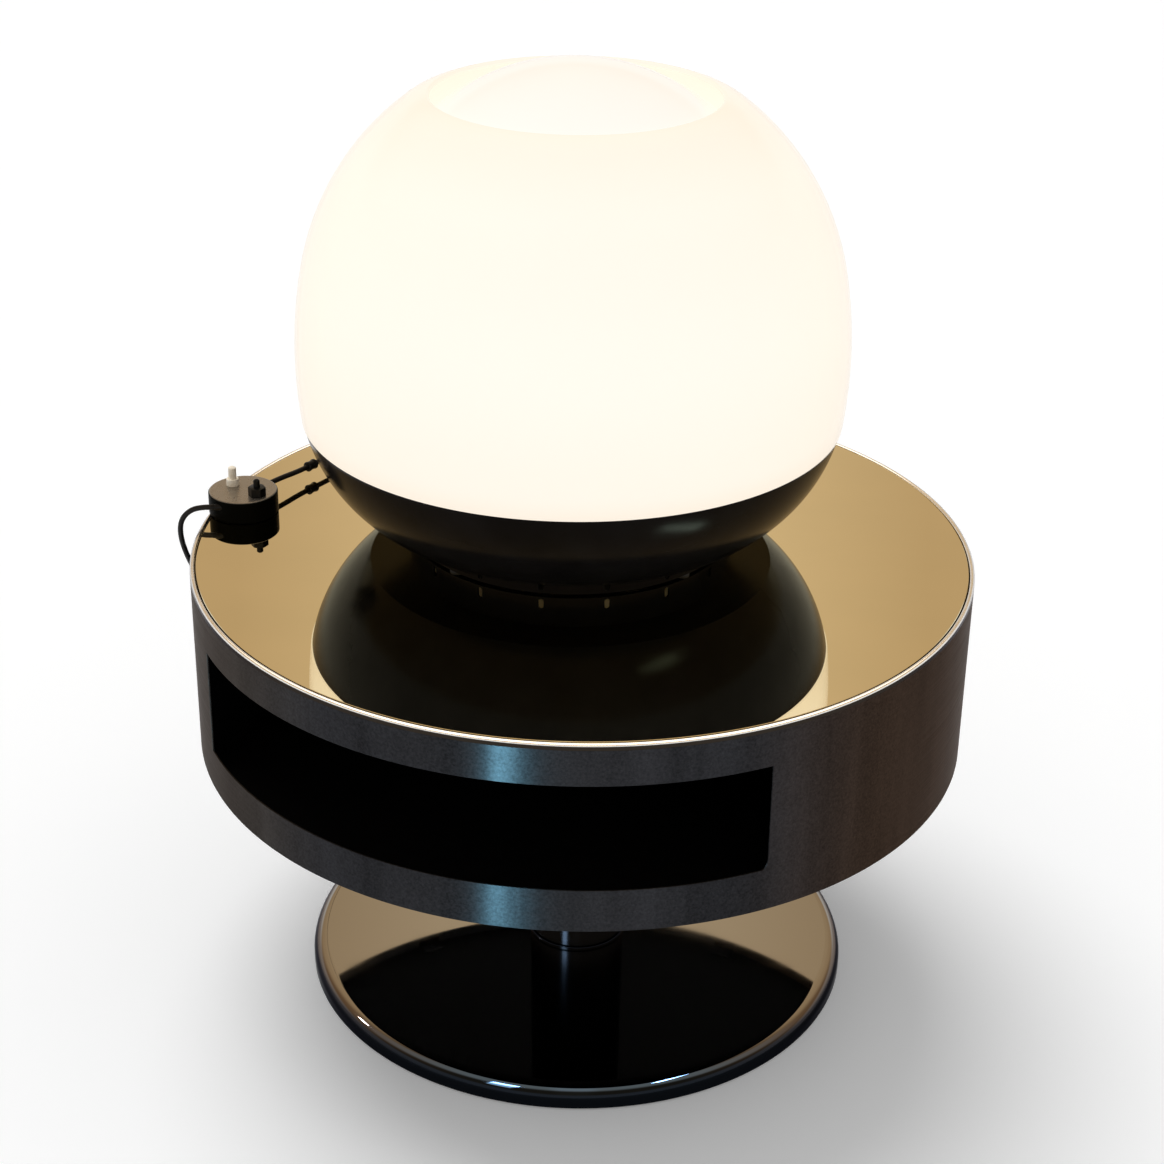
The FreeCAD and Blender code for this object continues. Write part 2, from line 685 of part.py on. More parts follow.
def gallery_post():
    top = MIRROR_TOP + GLOBE_NECK_LOW - GALLERY_WALL
    post = tube(LAMP, POST_R, POST_R - POST_WALL, CHASSIS_TOP, top)
    return post.cut(polar_rod(INLET_ANGLE, CHASSIS_TOP + LEAD_H, 0, POST_R + 1, LEAD_R + SLIP_GAP))


# Lampholders and bulbs

def lampholder(at, low, outer, height, floor, bore):
    return cylinder(at, outer, low, low + height).cut(cylinder(at, bore, low + floor, low + height + 1))


def bulb_glass(at, low, neck, radius, length):
    # Thin shell: a cone that runs into a ball
    def filled(wall):
        middle = (0.0, low + length - radius)
        return turned(at, [
            (0.0, low + wall),
            (neck - wall, low + wall),
            on_circle(middle, radius - wall, BULB_CONE_TO),
            arc_step(middle, radius - wall, BULB_CONE_TO, 90),
        ])
    return filled(0.0).cut(filled(BULB_GLASS_T))


def lights():
    floor = CHASSIS_TOP + HOLDER_FLOOR
    top = CHASSIS_TOP + HOLDER_H + CAP_STAND
    nodes = {
        "centre_lampholder": lampholder(LAMP, CHASSIS_TOP, HOLDER_R, HOLDER_H, HOLDER_FLOOR, CAP_R + CAP_GAP),
        "centre_bulb_cap": cylinder(LAMP, CAP_R, floor, top),
        "centre_bulb": bulb_glass(LAMP, top, CAP_R, BULB_R, BULB_L),
    }
    floor = BOWL_FLOOR + SIDE_HOLDER_FLOOR
    top = BOWL_FLOOR + SIDE_HOLDER_H + CAP_STAND
    holders = []
    caps = []
    bulbs = []
    for degrees in SIDE_LAMPS:
        at = on_circle(LAMP, SIDE_LAMP_AT, degrees)
        holders.append(lampholder(at, BOWL_FLOOR, SIDE_HOLDER_R, SIDE_HOLDER_H, SIDE_HOLDER_FLOOR,
                                  SIDE_CAP_R + CAP_GAP))
        caps.append(cylinder(at, SIDE_CAP_R, floor, top))
        bulbs.append(bulb_glass(at, top, SIDE_CAP_R, SIDE_BULB_R, SIDE_BULB_L))
    nodes["side_lampholders"] = group(holders)
    nodes["side_bulb_caps"] = group(caps)
    nodes["side_bulbs"] = group(bulbs)
    return nodes


# Inlet and wiring inside the lamp

def polar(degrees, radius, z, aside=0.0):
    # A point out from the lamp's axis, moved sideways by `aside`
    out = math.radians(degrees)
    return vec(LAMP_X + radius * math.cos(out) - aside * math.sin(out),
               LAMP_Y + radius * math.sin(out) + aside * math.cos(out), z)


def polar_rod(degrees, z, start, end, radius):
    return rod_between(polar(degrees, start, z), polar(degrees, end, z), radius)


def inlet_rod(start, end, radius):
    return polar_rod(INLET_ANGLE, MIRROR_TOP + INLET_H, start, end, radius)


def inlet_gland():
    # A bush through the neck wall with a flange on each side
    outer = inlet_rod(NECK_R + SLIP_GAP, NECK_R + INLET_GLAND_OUT, INLET_GLAND_R + SHEET_T)
    through = inlet_rod(NECK_R - SHEET_T * 2, NECK_R + SLIP_GAP, INLET_GLAND_R)
    inner = inlet_rod(NECK_R - INLET_GLAND_IN, NECK_R - SHEET_T * 2, INLET_GLAND_R + SHEET_T)
    return outer.fuse(through).fuse(inner).removeSplitter()


def supply_hole_at():
    return (BLOCK_AT + BLOCK_D / 2 + LEAD_LANE) / 2


def supply_lead():
    # From the gland in under the chassis, up through its hole and back in to the terminal block
    start = NECK_R - INLET_GLAND_IN
    hole = supply_hole_at()
    end = BLOCK_AT + BLOCK_D / 2
    low = MIRROR_TOP + INLET_H
    plate = CHASSIS_TOP - CHASSIS_T / 2
    high = CHASSIS_TOP + BLOCK_T / 2
    route = [(start, low), (start - 11, low), (hole + 17, low + 2.8), (hole + 8, plate - 7),
             (hole, plate), (hole - 5, high - 2), (end + 5.5, high), (end, high)]
    return cord_tube("supply_lead", [polar(INLET_ANGLE, r, z) for r, z in route], LEAD_R)


def lead_route(lamp_angle, lane, aside):
    # From the block out to a lane, round on it and out to a side lampholder
    z = CHASSIS_TOP + LEAD_H
    turn = (lamp_angle - INLET_ANGLE + 180) % 360 - 180
    side = math.copysign(1, turn)
    points = [polar(INLET_ANGLE, BLOCK_AT + BLOCK_D / 2, z, side * aside),
              polar(INLET_ANGLE, BLOCK_AT + BLOCK_D / 2 + 8, z, side * aside)]
    steps = max(1, round((abs(turn) - 20) / LEAD_STEP))
    first = side * 12
    last = turn - side * 6
    for i in range(steps + 1):
        points.append(polar(INLET_ANGLE + first + (last - first) * i / steps, lane, z))
    reach = SIDE_LAMP_AT - SIDE_HOLDER_R
    points.append(polar(lamp_angle, (lane + 2 * reach) / 3, z))
    points.append(polar(lamp_angle, reach - TOUCH_GAP, z))
    return points


def wiring():
    block_low = polar(INLET_ANGLE, BLOCK_AT, CHASSIS_TOP)
    block = box((block_low.x - BLOCK_D / 2, block_low.y - BLOCK_W / 2, CHASSIS_TOP),
                (block_low.x + BLOCK_D / 2, block_low.y + BLOCK_W / 2, CHASSIS_TOP + BLOCK_T))
    block.rotate(block_low, vec(0, 0, 1), INLET_ANGLE)
    leads = [supply_lead()]
    lanes = (LEAD_LANE, LEAD_LANE, LEAD_LANE + LEAD_LANE_STEP)
    asides = (12.0, 7.0, 12.0)
    for degrees, lane, aside in zip(SIDE_LAMPS, lanes, asides):
        leads.append(cord_tube("side_lead", lead_route(degrees, lane, aside), LEAD_R))
    z = CHASSIS_TOP + LEAD_H
    leads.append(polar_rod(INLET_ANGLE, z, HOLDER_R + TOUCH_GAP, BLOCK_AT - BLOCK_D / 2, LEAD_R))
    return {"terminal_block": block, "lamp_wiring": group(leads), "inlet_gland": inlet_gland()}


def lamp():
    nodes = {
        "lamp_pads": lamp_pads(),
        "neck_ring": neck_ring(),
        "bowl": bowl(),
        "neck_screws": neck_screws(),
        "chassis_plate": chassis_plate(),
        "glass_seat": glass_seat(),
        "outer_glass": outer_glass(),
        "inner_globe": inner_globe(),
        "gallery": gallery(),
        "gallery_screws": gallery_screws(),
        "gallery_post": gallery_post(),
    }
    nodes.update(lights())
    nodes.update(wiring())
    return nodes


# Cord switch

PUCK_PLACE = by_rim(PUCK_ANGLE, -PUCK_RIM_IN, 0)
PUCK = (PUCK_PLACE.x, PUCK_PLACE.y)
CORD_EXITS = ((LINK_HEADING, LINK_HEADING), (MAINS_SIDE, MAINS_HEADING))


def from_puck(offset):
    return (PUCK[0] + offset[0], PUCK[1] + offset[1])


def puck_exit(side, heading, out):
    # A place on a cord's line, counted from where the line leaves the switch
    point = on_circle(on_circle(PUCK, PUCK_R, side), out, heading)
    return vec(point[0], point[1], CORD_Z)


def sleeve_root(side, heading):
    # How far inside the switch a slanting sleeve starts, clear of the wall all round
    slant = math.radians(side - heading)
    return PUCK_WALL / math.cos(slant) + SLEEVE_R * math.tan(abs(slant)) + SLEEVE_IN


def puck_case():
    top = MIRROR_TOP + PUCK_TOP
    inner = PUCK_R - PUCK_WALL
    case = turned(PUCK, [
        (inner, PUCK_FLOOR),
        (PUCK_R, PUCK_FLOOR),
        (PUCK_R, top - PUCK_CHAMFER),
        (PUCK_R - PUCK_CHAMFER, top),
        (0.0, top),
        (0.0, PUCK_CEILING),
        (inner, PUCK_CEILING),
    ])
    for offset in ((WHITE_X, WHITE_Y), (BLACK_X, BLACK_Y)):
        case = case.cut(cylinder(from_puck(offset), BUTTON_THREAD_R + THREAD_GAP, PUCK_COVER_TOP, top + 1))
    for side, heading in CORD_EXITS:
        start = puck_exit(side, heading, -sleeve_root(side, heading))
        end = puck_exit(side, heading, SLEEVE_OUT)
        case = case.cut(rod_between(start, end, SLEEVE_R + THREAD_GAP))
    for offset in PUCK_SCREWS:
        at = from_puck(offset)
        case = case.fuse(cylinder(at, PUCK_POST_R, PUCK_COVER_TOP, PUCK_CEILING + THREAD_GAP))
        case = case.cut(cylinder(at, PUCK_SCREW_R + THREAD_GAP, PUCK_FLOOR, PUCK_FLOOR + PUCK_SCREW_L + 1))
    return case.removeSplitter()


def puck_bottom():
    cover = cylinder(PUCK, PUCK_R - PUCK_WALL - SLIP_GAP, PUCK_FLOOR, PUCK_COVER_TOP)
    screws = []
    for offset in PUCK_SCREWS:
        at = from_puck(offset)
        cover = cover.cut(cylinder(at, PUCK_SCREW_R + THREAD_GAP, PUCK_FLOOR, PUCK_COVER_TOP))
        head_top = PUCK_FLOOR + PUCK_SCREW_HEAD_T
        cover = cover.cut(cylinder(at, PUCK_SCREW_HEAD_R + THREAD_GAP, PUCK_FLOOR, head_top))
        head = cylinder(at, PUCK_SCREW_HEAD_R, PUCK_FLOOR, head_top)
        screws.append(head.fuse(cylinder(at, PUCK_SCREW_R, PUCK_FLOOR, PUCK_FLOOR + PUCK_SCREW_L)))
    pads = [cylinder(from_puck(offset), PUCK_PAD_R, MIRROR_TOP, PUCK_FLOOR) for offset in PUCK_PADS]
    return {"switch_cover": cover, "switch_cover_screws": group(screws), "switch_pads": group(pads)}


def plunger(at, radius, height):
    # Domed button on a shaft with a flange that the spring lifts against the collar
    shank_low = MIRROR_TOP + PUCK_TOP - BUTTON_SHANK
    flange_top = shank_low - BUTTON_REST_GAP
    flange_low = flange_top - BUTTON_FLANGE_T
    top = MIRROR_TOP + PUCK_TOP + height
    flange_r = radius + BUTTON_FLANGE
    dome_r = (radius ** 2 + BUTTON_DOME ** 2) / (2 * BUTTON_DOME)
    middle = (0.0, top - dome_r)
    dome_from = arc_angle(middle, dome_r, top - BUTTON_DOME)
    return turned(at, [
        (0.0, flange_low),
        (flange_r, flange_low),
        (flange_r, flange_top),
        (radius, flange_top),
        on_circle(middle, dome_r, dome_from),
        arc_step(middle, dome_r, dome_from, 90),
    ])


def collar(at, head, plunger_r):
    top = MIRROR_TOP + PUCK_TOP
    shank = cylinder(at, BUTTON_THREAD_R, top - BUTTON_SHANK, top)
    bore = cylinder(at, plunger_r + BUTTON_GAP, PUCK_FLOOR, head.BoundBox.ZMax + 1)
    return head.fuse(shank).cut(bore).removeSplitter()


def switch_cell(at):
    high = MIRROR_TOP + PUCK_TOP - BUTTON_SHANK
    body = cylinder(at, CELL_R, PUCK_COVER_TOP, high)
    return body.cut(cylinder(at, CELL_BORE_R, PUCK_COVER_TOP + CELL_FLOOR, high + 1))


def button_spring(at):
    low = PUCK_COVER_TOP + CELL_FLOOR
    high = MIRROR_TOP + PUCK_TOP - BUTTON_SHANK - BUTTON_REST_GAP - BUTTON_FLANGE_T
    return tube(at, SPRING_R, SPRING_R - SPRING_WALL, low, high)


def sleeve(side, heading):
    inner = puck_exit(side, heading, -sleeve_root(side, heading))
    wall = puck_exit(side, heading, 0)
    tip = puck_exit(side, heading, SLEEVE_OUT)
    return rod_between(inner, wall, SLEEVE_R).fuse(rod_between(wall, tip, SLEEVE_R, SLEEVE_TIP_R))


def cord_switch():
    white = from_puck((WHITE_X, WHITE_Y))
    black = from_puck((BLACK_X, BLACK_Y))
    top = MIRROR_TOP + PUCK_TOP
    round_head = cylinder(white, WHITE_COLLAR_R, top, top + WHITE_COLLAR_OUT)
    hex_head = hexagon(black, BLACK_COLLAR_FLATS, top, top + BLACK_COLLAR_OUT)
    middle = from_puck(TERMINAL_AT)
    wide, deep, tall = TERMINAL_BOX
    nodes = {
        "switch_case": puck_case(),
        "white_button_collar": collar(white, round_head, WHITE_PLUNGER_R),
        "black_button_collar": collar(black, hex_head, BLACK_PLUNGER_R),
        "white_button": plunger(white, WHITE_PLUNGER_R, WHITE_COLLAR_OUT + WHITE_PLUNGER_OUT),
        "black_button": plunger(black, BLACK_PLUNGER_R, BLACK_COLLAR_OUT + BLACK_PLUNGER_OUT),
        "white_button_spring": button_spring(white),
        "black_button_spring": button_spring(black),
        "switch_cells": group([switch_cell(white), switch_cell(black)]),
        "switch_terminals": box((middle[0] - wide / 2, middle[1] - deep / 2, PUCK_COVER_TOP),
                                (middle[0] + wide / 2, middle[1] + deep / 2, PUCK_COVER_TOP + tall)),
        "switch_sleeves": group([sleeve(side, heading) for side, heading in CORD_EXITS]),
    }
    nodes.update(puck_bottom())
    return nodes


# Cord tubes: straight runs joined by tangent arcs

ARC_SHARE = 0.45            # of the shorter run, on each side of a point


def cord_path(points):
    edges = []
    radii = []
    length = 0.0
    here = points[0]
    for before, point, after in zip(points, points[1:], points[2:]):
        back = (before - point).normalize()
        ahead = (after - point).normalize()
        reach = ARC_SHARE * min(point.distanceToPoint(before), point.distanceToPoint(after))
        turn = math.pi - back.getAngle(ahead)
        radius = reach / math.tan(turn / 2)
        start = point + back * reach
        end = point + ahead * reach
        bisector = (back + ahead).normalize()
        middle = point + bisector * (radius / math.cos(turn / 2) - radius)
        edges.append(Part.LineSegment(here, start).toShape())
        edges.append(Part.Arc(start, middle, end).toShape())
        length += here.distanceToPoint(start) + radius * turn
        radii.append(radius)
        here = end
    edges.append(Part.LineSegment(here, points[-1]).toShape())
    length += here.distanceToPoint(points[-1])
    return Part.Wire(edges), radii, length


def swept(path, start, ahead, radius):
    profile = Part.Wire(Part.Circle(start, ahead, radius).toShape())
    return path.makePipeShell([profile], True, False)


def report_tube(name, solid, radius, length, least_radius):
    share = solid.Volume / (math.pi * radius ** 2 * length)
    print(f"{name}: length {length:.1f}, least radius {least_radius:.1f}, volume share {share:.4f}")


def cord_tube(name, points, radius):
    path, radii, length = cord_path(points)
    solid = swept(path, points[0], points[1] - points[0], radius)
    report_tube(name, solid, radius, length, min(radii))
    return solid


# Coil: each quarter turn is two arcs that share a tangent

def coil_point(turn, first_z):
    # Place and direction after `turn` radians, going clockwise from the -X side
    inward = COIL_TURNS * 2 * math.pi
    rate = COIL_PITCH / (2 * math.pi)
    least = COIL_R - rate * inward
    if turn <= inward:
        radius, slope, rise, climb = COIL_R - rate * turn, -rate, 0.0, 0.0
    elif turn <= inward + math.pi:
        past = turn - inward
        radius = least - rate * past + rate * past ** 2 / math.pi
        slope = -rate + 2 * rate * past / math.pi
        rise = COIL_LAYER * (1 - math.cos(past)) / 2
        climb = COIL_LAYER * math.sin(past) / 2
    else:
        past = turn - inward - math.pi
        radius, slope, rise, climb = least + rate * past, rate, COIL_LAYER, 0.0
    angle = math.pi - turn
    middle = by_rim(COIL_ANGLE, COIL_RIM_OUT, first_z + rise)
    place = middle + vec(radius * math.cos(angle), radius * math.sin(angle), 0)
    ahead = vec(slope * math.cos(angle) + radius * math.sin(angle),
                slope * math.sin(angle) - radius * math.cos(angle), climb)
    return place, ahead.normalize()


def arc_from(start, ahead, end):
    chord = end - start
    along = vec(chord.x, chord.y, chord.z).normalize()
    aside = ahead - along * ahead.dot(along)
    half = ahead.getAngle(along) / 2
    middle = start + chord * 0.5 + aside.normalize() * (chord.Length / 2 * math.tan(half))
    return Part.Arc(start, middle, end)


def biarc(start, ahead, end, final):
    between = end - start
    both = ahead + final
    spread = 2 * (1 - ahead.dot(final))
    root = math.sqrt(between.dot(both) ** 2 + spread * between.dot(between))
    reach = (root - between.dot(both)) / spread
    joint = (start + end + (ahead - final) * reach) * 0.5
    second = arc_from(end, final * -1, joint)
    return [arc_from(start, ahead, joint), Part.Arc(joint, second.value(
        (second.FirstParameter + second.LastParameter) / 2), end)]


def coil_ends():
    start, ahead = coil_point(0.0, CORD_R)
    end, final = coil_point((2 * COIL_TURNS + 0.5) * 2 * math.pi, CORD_R)
    return start - ahead * COIL_END, start, ahead, end, final, end + final * COIL_END


def least_gap(points, step):
    # Smallest clear distance between stretches of the tube that are not neighbours along it
    skip = int(4 * CORD_R * 2 / step)
    best = math.inf
    for i in range(len(points)):
        for j in range(i + skip, len(points)):
            best = min(best, points[i].distanceToPoint(points[j]))
    return best - 2 * CORD_R


def cord_coil():
    first, start, ahead, end, final, last = coil_ends()
    quarters = 4 * (2 * COIL_TURNS) + 2
    arcs = []
    place, direction = start, ahead
    for quarter in range(1, quarters + 1):
        there, towards = coil_point(quarter * math.pi / 2, CORD_R)
        arcs += biarc(place, direction, there, towards)
        place, direction = there, towards
    edges = [Part.LineSegment(first, start).toShape()]
    edges += [arc.toShape() for arc in arcs]
    edges.append(Part.LineSegment(end, last).toShape())
    path = Part.Wire(edges)
    solid = swept(path, first, ahead, CORD_R)
    step = 1.5
    points = path.discretize(int(path.Length / step))
    radii = [edge.Curve.Radius for edge in edges[1:-1]]
    report_tube("cord_coil", solid, CORD_R, path.Length, min(radii))
    print(f"cord_coil: least gap to itself {least_gap(points, step):.2f}")
    return solid


# Cord routes, each a list of places along the cord's centre line

def link_route():
    start = puck_exit(LINK_HEADING, LINK_HEADING, SLEEVE_OUT)
    end, _ = connector_ends()
    return [start, start + link_way(CORD_EXIT), end - link_way(CORD_EXIT), end]


def lamp_route():
    _, start = connector_ends()
    low = MIRROR_TOP - start.z
    lamp = vec(LAMP_X, LAMP_Y, MIRROR_TOP)
    outer = NECK_R + INLET_GLAND_OUT
    level = MIRROR_TOP + INLET_H
    return [start, start + link_way(CORD_EXIT), start + vec(21.6, 29.3, low + 11.2),
            start + vec(42.6, 50.3, low + 10.6), start + vec(68.6, 68.3, low + 10.8),
            lamp + vec(-146.0, 173.5, 12.0), lamp + vec(-118.0, 171.5, 13.8), lamp + vec(-97.0, 160.5, 15.4),
            polar(INLET_ANGLE, outer + CORD_EXIT, level), polar(INLET_ANGLE, outer, level)]


def mains_route():
    # Over the rim, down behind the drum and on to the coil
    start = puck_exit(MAINS_SIDE, MAINS_HEADING, SLEEVE_OUT)
    end = coil_ends()[0]
    ahead = coil_ends()[2]
    top = TABLE_H
    return [start, puck_exit(MAINS_SIDE, MAINS_HEADING, SLEEVE_OUT + CORD_EXIT),
            by_rim(173.5, 14.8, top + 7.7), by_rim(173.3, 21.7, top - 2.8), by_rim(172.7, 24.0, top - 18.0),
            by_rim(171.4, 23.6, top - 38.0), by_rim(169.2, 21.2, top - 64.0), by_rim(165.8, 18.8, top - 96.0),
            by_rim(160.6, 18.2, top - 132.0), by_rim(153.8, 19.4, top - 172.0),
            by_rim(146.7, 23.3, top - 218.0), by_rim(140.1, 29.1, 166.0), by_rim(134.3, 36.8, 118.0),
            by_rim(129.3, 46.6, 76.0), by_rim(125.2, 59.8, 40.0), by_rim(122.2, 73.1, 15.0),
            by_rim(120.7, 81.3, 5.0), end - ahead * CORD_EXIT, end]


def link_way(length):
    turn = math.radians(LINK_HEADING)
    return vec(math.cos(turn), math.sin(turn), 0) * length


def connector_ends():
    middle = puck_exit(LINK_HEADING, LINK_HEADING, CONNECTOR_FROM_PUCK - PUCK_R)
    middle.z = MIRROR_TOP + CONNECTOR_RISE
    half = link_way(CONNECTOR_L / 2)
    return middle - half, middle + half


def inline_connector():
    start, end = connector_ends()
    barrel = rod_between(start, end, CONNECTOR_R)
    rims = [edge for edge in barrel.Edges if edge.Curve.TypeId == "Part::GeomCircle"]
    return barrel.makeChamfer(CONNECTOR_CHAMFER, rims)


def mains_plug():
    # Built pointing to -Y, then turned to the coil's end: a neck, a block body and two round pins
    start = coil_ends()[5]
    ahead = coil_ends()[4]
    z = start.z
    neck_end = start.y - PLUG_NECK_L
    face = neck_end - PLUG_L
    body = box((start.x - PLUG_W / 2, face, 0), (start.x + PLUG_W / 2, neck_end, 2 * z))
    body = body.makeFillet(PLUG_ROUND, body.Edges)
    neck = rod_between(start, vec(start.x, neck_end, z), CORD_R, PLUG_NECK_R)
    pins = []
    for side in (-PIN_APART / 2, PIN_APART / 2):
        foot = vec(start.x + side, face, z)
        pins.append(rod_between(foot, foot - vec(0, PIN_L, 0), PIN_R))
    nodes = {"mains_plug": neck.fuse(body).removeSplitter(), "plug_pins": group(pins)}
    turn = math.degrees(math.atan2(ahead.x, -ahead.y))
    for shape in nodes.values():
        shape.rotate(start, vec(0, 0, 1), turn)
    return nodes


def cord():
    nodes = {
        "cord_to_lamp": cord_tube("cord_to_lamp", lamp_route(), CORD_R),
        "inline_connector": inline_connector(),
        "cord_link": cord_tube("cord_link", link_route(), CORD_R),
        "mains_cord": cord_tube("mains_cord", mains_route(), CORD_R),
        "mains_cord_coil": cord_coil(),
    }
    nodes.update(mains_plug())
    return nodes


def main():
    nodes = {}
    for part in (base_and_column, drum, lamp, cord_switch, cord):
        nodes.update(part())
    os.makedirs("parts", exist_ok=True)
    for name, shape in nodes.items():
        shape.exportStep(f"parts/{name}.step")
    print(len(nodes), "nodes")


main()
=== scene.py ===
"""Looks of the double-globe table lamp on its round mirror-topped drum table.

Metres, +Z up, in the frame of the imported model: the origin is on the floor, on the table's axis.
"""

import json
import math

import bmesh
import bpy
from mathutils import Matrix, Vector


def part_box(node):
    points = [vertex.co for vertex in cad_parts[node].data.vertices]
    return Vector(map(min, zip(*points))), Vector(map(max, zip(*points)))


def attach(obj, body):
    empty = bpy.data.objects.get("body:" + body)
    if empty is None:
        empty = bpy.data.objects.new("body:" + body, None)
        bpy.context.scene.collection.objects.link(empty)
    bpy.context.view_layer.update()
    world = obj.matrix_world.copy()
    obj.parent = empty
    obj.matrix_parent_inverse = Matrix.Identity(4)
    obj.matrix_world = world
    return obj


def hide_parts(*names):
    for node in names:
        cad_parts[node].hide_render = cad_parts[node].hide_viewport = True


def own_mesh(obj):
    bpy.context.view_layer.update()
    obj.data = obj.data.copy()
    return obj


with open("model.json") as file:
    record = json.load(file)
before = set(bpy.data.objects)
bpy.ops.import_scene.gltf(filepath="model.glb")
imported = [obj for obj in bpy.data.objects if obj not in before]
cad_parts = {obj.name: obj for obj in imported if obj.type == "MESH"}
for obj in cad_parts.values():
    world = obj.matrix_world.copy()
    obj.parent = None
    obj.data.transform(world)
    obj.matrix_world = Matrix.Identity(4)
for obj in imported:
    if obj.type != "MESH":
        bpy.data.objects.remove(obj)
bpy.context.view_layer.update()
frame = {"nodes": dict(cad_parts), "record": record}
nodes = frame["nodes"]

# Driving sizes and places

TABLE = "lamp_and_table"        # the body that stands still
DRUM_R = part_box("drum_band")[1].x
DRUM_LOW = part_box("drum_band")[0].z
BAND_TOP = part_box("drum_band")[1].z
BAND_T = 0.0015
TABLE_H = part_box("trim_ring")[1].z
MIRROR_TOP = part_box("top_mirror")[1].z
MIRROR_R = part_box("top_mirror")[1].x
MIRROR_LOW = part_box("top_mirror")[0].z
MIRROR_ARRIS = 0.0004
RING_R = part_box("trim_ring")[1].x
RING_W = 0.0045
WINDOW_LOW = 0.297
WINDOW_HIGH = 0.394
WINDOW_FROM = -66.0             # degrees from -Y towards +X
WINDOW_TO = 26.0
WINDOW_ROUND = 0.009

BASE_R = 0.256
BASE_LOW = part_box("base_cover")[0].z
BASE_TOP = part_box("base_cover")[1].z
BASE_ROUND = 0.014
SKIN_T = 0.0015
# The base's front and its sides carry different painted reflections.
BASE_FRONT = (-0.235, -0.14)    # Y between which the front's tones give way to the sides'
ROD_HOLE_R = 0.0065
COLUMN_R = 0.045
COLUMN_WALL = 0.0015
COLUMN_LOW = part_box("column")[0].z
COLUMN_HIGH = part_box("column")[1].z
COLLAR_R = 0.0467
COLLAR_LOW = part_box("column_collar")[0].z
COLLAR_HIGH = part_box("column_collar")[1].z
COLLAR_ROUND = 0.0012
COLLAR_GAP = 0.0002

LAMP = (-0.011, 0.0475)         # the lamp's axis
SHEET_T = 0.0015
NECK_R = 0.147
NECK_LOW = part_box("neck_ring")[0].z
NECK_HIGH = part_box("neck_ring")[1].z
NECK_FLANGE = 0.014
SLOT_COUNT = 16
SLOT_W = 0.0046
SLOT_LOW = MIRROR_TOP + 0.004
SLOT_HIGH = MIRROR_TOP + 0.0135
SLOT_FIRST = -9.5               # degrees from -Y
BOWL_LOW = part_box("bowl")[0].z
BOWL_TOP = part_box("bowl")[1].z
BOWL_CENTRE = (0.105, MIRROR_TOP + 0.143)
BOWL_ARC_R = 0.1385
BOWL_HOLE_R = 0.130

GLASS_T = 0.004
LIP_R = 0.2354
LIP_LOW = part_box("outer_glass")[0].z
GLASS_STEP = BOWL_TOP + 0.0004
BELLY = (0.2452, MIRROR_TOP + 0.1698)
SIDE_ARC = (0.414, 11.0)        # radius, and the angle that it reaches
SHOULDER_ARC = (0.2336, 53.25)
RIM_ARC = (0.053, 79.1)
GLOBE_R = 0.187
GLOBE_MIDDLE = MIRROR_TOP + 0.2406
GLOBE_T = 0.0035
GLOBE_NECK_R = 0.050
GLOBE_NECK_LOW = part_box("inner_globe")[0].z
GLASS_GLOW_TO = 0.835           # height at which a glass's glow is weakest
GLOBE_GLOW_TO = 0.86
INLET_ANGLE = 120.0             # degrees from +X round the lamp's axis
INLET_H = 0.016
GLAND_R = 0.005
GLAND_END = 0.160               # from the lamp's axis

PUCK_ANGLE = 168.12             # degrees from +X round the table's axis
PUCK_RIM_IN = 0.0293
PUCK_R = 0.0319
PUCK_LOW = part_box("switch_case")[0].z
PUCK_TOP = MIRROR_TOP + 0.0212
PUCK_WALL = 0.002
WHITE_AT = (-0.0106, 0.0098)    # from the switch's axis
BLACK_AT = (0.0148, -0.0126)
WHITE_COLLAR_R = 0.0061
WHITE_COLLAR_TOP = PUCK_TOP + 0.0067
WHITE_PLUNGER_R = 0.0037
WHITE_PLUNGER_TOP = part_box("white_button")[1].z
BLACK_COLLAR_FLATS = 0.0142
BLACK_COLLAR_TOP = PUCK_TOP + 0.0082
BLACK_PLUNGER_R = 0.0030
BLACK_PLUNGER_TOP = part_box("black_button")[1].z
BUTTON_GAP = 0.00006
BUTTON_THREAD_R = 0.0055
BUTTON_SHANK = 0.004
BUTTON_FLANGE = 0.0009
BUTTON_FLANGE_T = 0.002
SPRING_GAP = 0.00003            # under the flange
SPRING_R = 0.0032
SPRING_TURNS = 17
SLEEVE_OUT = 0.006
SLEEVE_R = 0.0031
SLEEVE_TIP_R = 0.0027
LINK_HEADING = 55.0             # degrees from +X
MAINS_HEADING = 183.0
MAINS_SIDE = 231.0              # degrees round the switch, where the mains cord leaves it aslant
CORD_Z = MIRROR_TOP + 0.0142

CORD_R = 0.0025
CORD_EXIT = 0.012               # straight out of sleeve, gland or connector
CONNECTOR_FROM_PUCK = 0.094
CONNECTOR_Z = MIRROR_TOP + 0.012
CONNECTOR_L = 0.0115
CONNECTOR_R = 0.0048
COIL_ANGLE = 114.23
COIL_RIM_OUT = 0.0886
COIL_R = 0.0389                 # outermost turn
COIL_PITCH = 0.00575
COIL_TURNS = 3                  # in each of the two layers
COIL_LAYER = 0.0056
COIL_END = 0.005
COIL_POINTS = 24                # in one turn
PLUG_NECK = 0.022
PLUG_NECK_R = 0.0042
PLUG_GRIP = 0.003               # half the width of the groove round the plug
PLUG_RIBS = 5
PLUG_RIB_PITCH = 0.0036
PLUG_RIB_HIGH = 0.0008

EYE = (0, -1.9086, 1.3586)
EYE_TILT = 63.22                # degrees up from straight down
EYE_ROLL = 0.86
EYE_LENS = 72.84                # millimetres, on a frame of 36
SAME_PLACE = 0.000001           # points nearer than this are one


# Places

def by_rim(degrees, out, z):
    """A point that is `out` outside the drum's rim."""
    turn = math.radians(degrees)
    return Vector(((DRUM_R + out) * math.cos(turn), (DRUM_R + out) * math.sin(turn), z))


